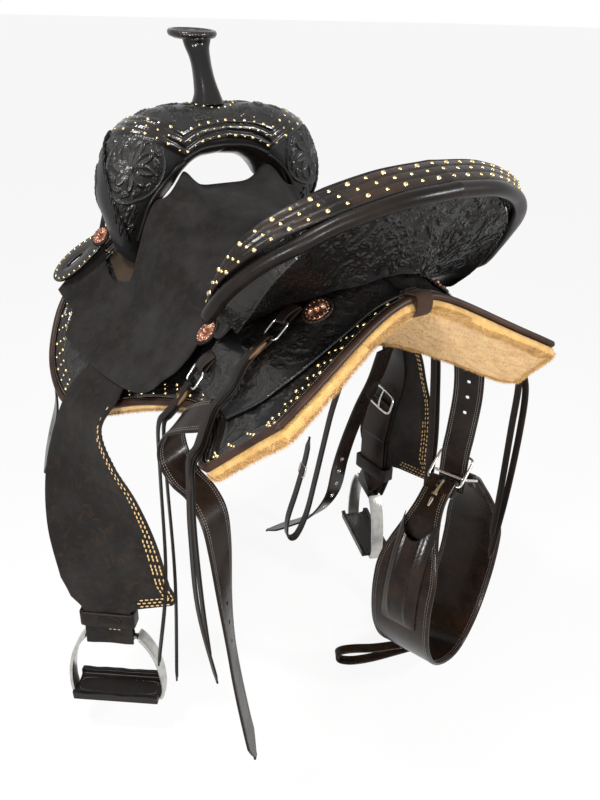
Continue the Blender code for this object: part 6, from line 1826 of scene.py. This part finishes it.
def plate_strip(path, wides, halves, thick, holes=(), columns=25):
    """A strap as two faces of small cells with rounded edges; round holes are cut through both."""
    tangents = unit(np.gradient(path, axis=0))
    wides = unit(wides - tangents * np.sum(wides * tangents, axis=1, keepdims=True))
    ups = np.cross(tangents, wides)
    along = lengths_along(path)
    cross = np.linspace(-1, 1, columns) * 0.75
    cross = np.sin(np.linspace(-math.pi / 2, math.pi / 2, columns)) * 0.25 + cross
    s = np.repeat(along, columns).reshape(len(path), columns)
    v = halves[:, None] * cross[None]
    keep = np.ones((len(path) - 1, columns - 1), bool)
    for hole in holes:
        far = np.hypot(s - hole, v)
        near = (far < HOLE_RADIUS * 1.45) & (far > HOLE_RADIUS * 0.55)
        scale = np.where(near, HOLE_RADIUS / np.maximum(far, 1e-6), 1.0)
        s, v = hole + (s - hole) * scale, v * scale
        far = np.hypot(s - hole, v) <= HOLE_RADIUS * 1.001
        keep &= ~(far[:-1, :-1] & far[1:, :-1] & far[:-1, 1:] & far[1:, 1:])
    edge = (halves[:, None] - np.abs(v)) / (thick * 0.45)
    deep = thick / 2 * rounded(edge, 0.06)
    at = [np.stack([np.interp(s, along, c) for c in a.T], axis=-1) for a in (path, wides, ups)]
    middle = at[0] + at[1] * v[..., None]
    points = np.vstack([(middle + at[2] * deep[..., None]).reshape(-1, 3),
                        (middle - at[2] * deep[..., None]).reshape(-1, 3)])
    return (points, grid_faces(keep)), wides, ups


def punched(node, route, across, width, holes=(), point=True, stitched=2, eyelets=False, stations=300):
    """A strap of the model, from its route; across gives its width's direction along it."""
    path = resample(spline(route, 8), stations)
    share = np.linspace(0, 1, stations)
    total = lengths_along(path)[-1]
    wides = np.array([across(t) for t in share], float)
    halves = np.full(stations, width / 2)
    if point:
        halves = halves * np.clip((1 - share) * total / 0.030, 0.16, 1.0) ** 0.7
    centres = [h + HOLE_RADIUS for h in holes]
    strap, wides, ups = plate_strip(path, wides, halves, STRAP_THICK, centres)
    piece(f"{node}_leather", strap, billet_leather, [node], body=body_of(node),
          crease=50)
    offsets = [sign * (width / 2 - EDGE_STITCH - 0.003 * k) for k in range(stitched) for sign in (-1, 1)]
    upto = int(stations * (1 - 0.045 / total)) if point else stations
    turn = around(24)[:, None]
    for name, lift in (("front", 1), ("back", -1)):
        if stitched:
            stitch_lines(f"{node}_stitches_{name}", path[:upto], wides[:upto], ups[:upto] * lift, offsets,
                         STRAP_THICK / 2 + 0.0001, body_of(node))
        for k, hole in enumerate(centres if eyelets else ()):
            i = int(hole / total * (stations - 1))
            centre = path[i] + ups[i] * lift * (STRAP_THICK / 2)
            tangent = unit(path[i + 1] - path[i])
            ring = centre + HOLE_RADIUS * 1.25 * (np.cos(turn) * wides[i] + np.sin(turn) * tangent)
            ring_of(f"{node}_eyelet_{k}_{name}", ring, EYELET_WIRE, steel, body_of(node))


def near_turn(t):
    """How the near billet turns as it doubles back on itself and hangs."""
    swing = float(ease(2.2 * t - 0.6))
    return 1 - 0.4 * swing, 0.25 + 0.55 * swing, 0.9 * (1 - float(ease(3 * t)))


punched("near_rear_billet", NEAR_REAR_BILLET, near_turn, BILLET_WIDTH, [0.34 + 0.030 * k for k in range(3)])
punched("off_billet", OFF_BILLET, lambda t: (0.98, 0.2, 0), BILLET_WIDTH,
        [0.27 + 0.030 * k for k in range(5)], stitched=0, eyelets=True)
punched("near_latigo", NEAR_LATIGO, lambda t: (0.25, 0.9, 0.1), 0.040, [0.10], stitched=0)
punched("off_rear_billet", OFF_REAR_BILLET, lambda t: (0.55 - 0.25 * t, -0.86, 0), BILLET_WIDTH,
        [0.05 + 0.025 * k for k in range(3)], point=False)
path = resample(spline(OFF_TIE_STRAP, 6), TIE_STEPS)
share = np.linspace(0, 1, TIE_STEPS)
halves = TIE_WIDTH / 2 * np.clip(np.minimum(share, 1 - share) / 0.03, 0.3, 1)
strap, wides, ups = plate_strip(path, np.tile((0.2, 0.9, 0.1), (TIE_STEPS, 1)), halves, STRAP_THICK,
                                columns=13)
piece("off_tie_strap_leather", strap, billet_leather, ["off_tie_strap"], body=body_of("off_tie_strap"))
at = TIE_BUCKLE_AT
ring = rounded_frame(path[at] + ups[at] * 0.0005, unit(path[at + 3] - path[at]), wides[at], *TIE_BUCKLE, 0.2)
ring_of("off_tie_buckle", ring, TIE_BUCKLE_WIRE, steel, body_of("off_tie_strap"))

# Flank cinch
# A wide doubled strap that hangs behind the stirrup and keeps the saddle's rear down. Its two ends
# are turned over steel buckles; a moulded pocket takes the billet's end, a short strap ties it forward.

PLY = 0.0058
CINCH_AT = np.array((0.215, -0.165, 0))
CINCH_ACROSS, CINCH_OUT = unit(np.array((0.30, -0.954, 0))), unit(np.array((0.954, 0.30, 0)))
CINCH_PROFILE = [(-0.034, -0.340), (-0.060, -0.358), (-0.092, -0.400), (-0.118, -0.455),
                 (-0.128, -0.520), (-0.115, -0.595), (-0.072, -0.658), (0, -0.686), (0.060, -0.655),
                 (0.100, -0.585), (0.113, -0.510), (0.100, -0.440), (0.068, -0.384), (0.040, -0.360)]
CINCH_WIDE, CINCH_NARROW, CINCH_SLOT = 0.105, 0.045, 0.010
BUCKLE_WIDTH, TONGUE_LENGTH = 0.056, 0.046
BUCKLE_TOPS = {"near": (0.0100, -0.312), "off": (-0.0100, -0.340)}
TONGUE_THICK, SLOT_DROP, CINCH_PARTS = 0.0024, 0.026, 15
POCKET_FIRST, POCKET_LAST, POCKET_HALF, POCKET_HIGH = 8, 11.4, 0.030, 0.011
POCKET_THICK, POCKET_RIDGE, POCKET_ROWS, POCKET_COLUMNS = 0.0026, 0.0018, 60, 45
CONNECTOR_WAY, CONNECTOR_ACROSS = unit(np.array((-0.85, 0.525, 0))), (0.45, 0.80, 0.35)
CONNECTOR = [(-0.020, -0.6918), (0.020, -0.6942), (0.060, -0.702), (0.100, -0.708), (0.135, -0.709),
             (0.158, -0.713), (0.166, -0.723), (0.158, -0.734), (0.135, -0.737), (0.100, -0.730),
             (0.060, -0.716), (0.020, -0.7025), (-0.020, -0.6987)]

cinch_leather = leather("cinch_leather", (0.0062, 0.0042, 0.0034), (0.050, 0.024, 0.013), 0.30, 0.22,
                        0.22, 240.0, 0.00018, coat=0.08)


def in_cinch(flat, v=0.0):
    """Points of the cinch's own plane (out, up), moved sideways along the cinch's width."""
    flat = np.atleast_2d(flat)
    return (CINCH_AT + flat[:, :1] * CINCH_OUT + np.reshape(v, (-1, 1)) * CINCH_ACROSS
            + flat[:, 1:] * np.array((0, 0, 1.0)))


def cinch_end(tip, beside):
    """How an end turns over its buckle: the bar's place, the way out and the way in."""
    away = unit(tip - beside)
    inner = np.array((away[1], -away[0]))
    inner = inner * (-1 if inner[0] * tip[0] > 0 else 1)
    return tip + inner * (BUCKLE_WIRE + PLY / 2 + SEAM), away, inner


def pocket_ring(down, cross):
    """The pocket's section at a share of its way down: an arched outer face with two ridges."""
    first = POCKET_FIRST + 0.15 + 0.65 * (1 - cross ** 2)
    place = first + (POCKET_LAST - first) * down
    s = (place - 7) * part_length
    p = at_lengths(profile, s)
    t = unit(at_lengths(profile, s + 0.002) - p)
    normal = np.column_stack([t[:, 1], -t[:, 0]])
    normal = normal * np.sign(normal[:, :1] * p[:, :1] + 1e-9)
    share = np.clip((place - POCKET_FIRST) / (POCKET_LAST - POCKET_FIRST), 0, 1)
    rise = PLY / 2 + 0.0003 + POCKET_HIGH * (1 - cross ** 4) * (1 - share ** 5)
    ridge = np.exp(-((np.abs(cross) - 0.50) / 0.10) ** 2) * ease(8 * share) * ease(5 * (1 - share))
    outer = rise + POCKET_THICK + POCKET_RIDGE * ridge
    lower, upper = (in_cinch(p + normal * lift[:, None], cross * POCKET_HALF) for lift in (rise, outer))
    return np.vstack([upper, lower[::-1]])


profile = spline(CINCH_PROFILE, 12)
coarse = resample(profile, CINCH_PARTS + 1)
body = body_of("flank_cinch")
turn_radius = BUCKLE_WIRE + PLY / 2 + SEAM
way = resample(profile, 420)
full_length = lengths_along(profile)[-1]
part_length = full_length / CINCH_PARTS
for label, at_start in (("near", True), ("off", False)):
    tip, beside = (coarse[0], coarse[1]) if at_start else (coarse[-1], coarse[-2])
    bar, away, inner = cinch_end(tip, beside)
    angles = np.linspace(math.pi, 0, 16)[:-1, None]
    wrap = bar + (away * np.sin(angles) - inner * np.cos(angles)) * turn_radius
    start = wrap[0] - away * 0.018 + inner * 0.001
    lead = resample(np.vstack([start[None], wrap[:1]]), 8)[:-1]
    lead = np.vstack([lead, wrap])
    way = np.vstack([lead, way]) if at_start else np.vstack([way, lead[::-1]])
    top = np.array(BUCKLE_TOPS[label])
    foot_at, top_at = in_cinch(bar)[0], in_cinch(top)[0]
    path = rounded_frame((foot_at + top_at) / 2, unit(top_at - foot_at), CINCH_ACROSS,
                         np.linalg.norm(top_at - foot_at), BUCKLE_WIDTH, 0.12)
    ring_of(f"{label}_cinch_buckle_frame", path, BUCKLE_WIRE, steel, body_of(f"{label}_cinch_buckle"),
            [f"{label}_cinch_buckle"])
    near_face = BUCKLE_WIRE + SEAM
    line = [bar - away * drop - inner * (near_face + clear + TONGUE_THICK / 2)
            for drop, clear in ((TONGUE_LENGTH, 0.0075), (0.026, 0.0066), (0.010, 0.0024))]
    for k in range(-1, 6):
        angle = math.pi * (1 - k / 6)
        line.append(bar + (inner * math.cos(angle) + away * math.sin(angle))
                    * (near_face + TONGUE_THICK / 2))
    line = resample(spline(line, 6), 60)
    rings = strap_rings(in_cinch(line), CINCH_ACROSS, np.interp(np.arange(60), (0, 12, 59),
                                                               (0.0030, 0.0058, 0.0062)),
                        TONGUE_THICK, 0.9)[0]
    piece(f"{label}_cinch_tongue_steel", skin(rings), steel, [f"{label}_cinch_tongue"],
          body=body_of(f"{label}_cinch_tongue"))
way = resample(way, 520)
along = lengths_along(way)
lead_length = (along[-1] - full_length) / 2
from_end = np.minimum(along, along[-1] - along) - lead_length
halves = (CINCH_NARROW + (CINCH_WIDE - CINCH_NARROW)
          * ease((from_end - SLOT_DROP) / (3 * part_length - SLOT_DROP))) / 2
columns = np.linspace(-1, 1, 41)
tangents = unit(np.gradient(way, axis=0))
normals = np.column_stack([tangents[:, 1], -tangents[:, 0]])
v = halves[:, None] * columns[None]
edge = (halves[:, None] - np.abs(v)) / 0.0026
deep = PLY / 2 * rounded(edge, 0.05)
groove = 0.0005 * np.exp(-((halves[:, None] - np.abs(v) - 0.0052) / 0.0010) ** 2)
slit = (from_end > -lead_length * 0.75) & (from_end < SLOT_DROP)
points = np.vstack([in_cinch(p + n * sign * (d - g)[:, None], across) for sign in (1, -1)
                    for p, n, d, g, across in zip(way, normals, deep, groove, v)])
keep = ~((np.abs(v[:-1, :-1] + v[:-1, 1:]) / 2 < CINCH_SLOT / 2) & slit[:-1, None])
piece("flank_cinch_leather", (points, grid_faces(keep, turned=True)), cinch_leather, ["flank_cinch"],
      body=body, crease=60)
inside = slice(30, -30)
for name, sign in (("outer", 1), ("inner", -1)):
    for row, inset in (("a", 0.0052), ("b", 0.0085)):
        for hand in (-1, 1):
            offsets = hand * (halves[inside] - inset)
            line = in_cinch(way[inside] + normals[inside] * sign * (PLY / 2 + 0.0001), offsets)
            spots = np.arange(0.004, lengths_along(line)[-1], STITCH_PITCH * 1.1)
            i = np.clip((spots / lengths_along(line)[-1] * (len(line) - 1)).astype(int), 0, len(line) - 2)
            places = at_lengths(line, spots)
            ups = in_cinch(normals[inside] * sign)[i] - CINCH_AT
            piece(f"cinch_stitches_{name}_{row}_{hand + 1}",
                  copies(BEAD, places, ups, line[i + 1] - line[i], STITCH), seam_thread, body=body)

cross = np.linspace(-1, 1, POCKET_COLUMNS)
rings = [pocket_ring(down, cross) for down in np.arange(POCKET_ROWS) / (POCKET_ROWS - 1)]
piece("billet_pocket_leather", skin(rings), cinch_leather, ["billet_pocket"], body=body,
      crease=60)
loop = spline(CONNECTOR, 8, closed=True)
path = CINCH_AT + loop[:, :1] * CONNECTOR_WAY + loop[:, 1:] * np.array((0, 0, 1.0))
rings = strap_rings(np.vstack([path[-3:], path, path[:3]]), CONNECTOR_ACROSS, 0.016, STRAP_THICK)[0][3:-3]
piece("cinch_connector_leather", skin(rings, closed_path=True), cinch_leather, ["cinch_connector"],
      body=body)

# Floor, lamps and camera
# A pale floor and backdrop, four soft lamps, and the camera where the photograph was taken from.

FLOOR_LEVEL, FLOOR_HALF, FLOOR_COLOUR, FLOOR_GLOW, WORLD_LIGHT = -0.748, 150, (0.86,) * 3, 0.90, 0.20
LENS, SENSOR = 34.1, 36
CAMERA_AT = (-0.5578, -0.8536, 0.2903)
CAMERA_RIGHT, CAMERA_BACK = (0.827, -0.561, 0.022), (-0.509, -0.732, 0.453)


def add_floor():
    mesh = bpy.data.meshes.new("floor")
    corners = ((-1, -1), (1, -1), (1, 1), (-1, 1))
    mesh.from_pydata([(x * FLOOR_HALF, y * FLOOR_HALF, FLOOR_LEVEL) for x, y in corners], [], [(0, 1, 2, 3)])
    floor = bpy.data.objects.new("floor", mesh)
    bpy.context.scene.collection.objects.link(floor)
    material, tree, shader = new_material("pale_floor")
    set_inputs(tree, shader, {"Base Color": (*FLOOR_COLOUR, 1), "Roughness": 0.9})
    rays = add_node(tree, "LightPath").outputs
    seen = sums(tree, "ADD", rays["Is Camera Ray"], rays["Is Glossy Ray"], use_clamp=True)
    glow = add_node(tree, "Emission", {"Color": (1, 1, 1, 1), "Strength": 1.0})
    mixed = add_node(tree, "MixShader", {0: sums(tree, "MULTIPLY", seen, FLOOR_GLOW),
                                         1: shader.outputs[0], 2: glow.outputs[0]})
    tree.links.new(mixed.outputs[0], tree.nodes["Material Output"].inputs["Surface"])
    mesh.materials.append(material)
    floor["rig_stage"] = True


def add_lamp(name, place, target, size, watts):
    lamp = bpy.data.lights.new(name, "AREA")
    lamp.shape, lamp.size, lamp.energy = "DISK", size, watts
    item = bpy.data.objects.new(name, lamp)
    item.location = place
    item.rotation_euler = (Vector(target) - Vector(place)).to_track_quat("-Z", "Y").to_euler()
    bpy.context.scene.collection.objects.link(item)


def set_world():
    world = bpy.data.worlds.new("studio")
    bpy.context.scene.world = world
    world.use_nodes = True
    tree = world.node_tree
    rays = add_node(tree, "LightPath").outputs
    seen = rays["Is Camera Ray"]
    for kind in ("Is Glossy Ray", "Is Transmission Ray"):
        seen = sums(tree, "ADD", seen, rays[kind], use_clamp=True)
    set_inputs(tree, tree.nodes["Background"], {
        "Color": (1, 1, 1, 1), "Strength": ramp(tree, seen, 0.0, 1.0, WORLD_LIGHT)})


def add_camera():
    right = Vector(CAMERA_RIGHT).normalized()
    back = Vector(CAMERA_BACK).normalized()
    up = back.cross(right).normalized()
    camera = bpy.data.cameras.new("camera")
    camera.lens, camera.sensor_width, camera.clip_start = LENS, SENSOR, 0.01
    item = bpy.data.objects.new("camera", camera)
    item.matrix_world = Matrix.Translation(CAMERA_AT) @ Matrix((right, up, back)).transposed().to_4x4()
    bpy.context.scene.collection.objects.link(item)
    bpy.context.scene.camera = item


add_floor()
add_lamp("key_above", (-0.9, -0.1, 1.5), (0, 0, 0), 0.30, 30)
add_lamp("raking_near", (-1.6, -0.9, 0.15), (0, -0.1, -0.05), 0.25, 20)
add_lamp("low_behind", (-1.1, -1.9, 0.05), (0.02, -0.25, 0.02), 0.22, 26)
add_lamp("raking_behind", (0.75, -1.35, 0.45), (0, -0.2, -0.05), 0.25, 20)
set_world()
add_camera()
bpy.context.scene.view_settings.view_transform = "Standard"

sizes = {name: [list(corner) for corner in box] for name, box in (("cad", cad_box),
                                                                 ("visual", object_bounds()))}
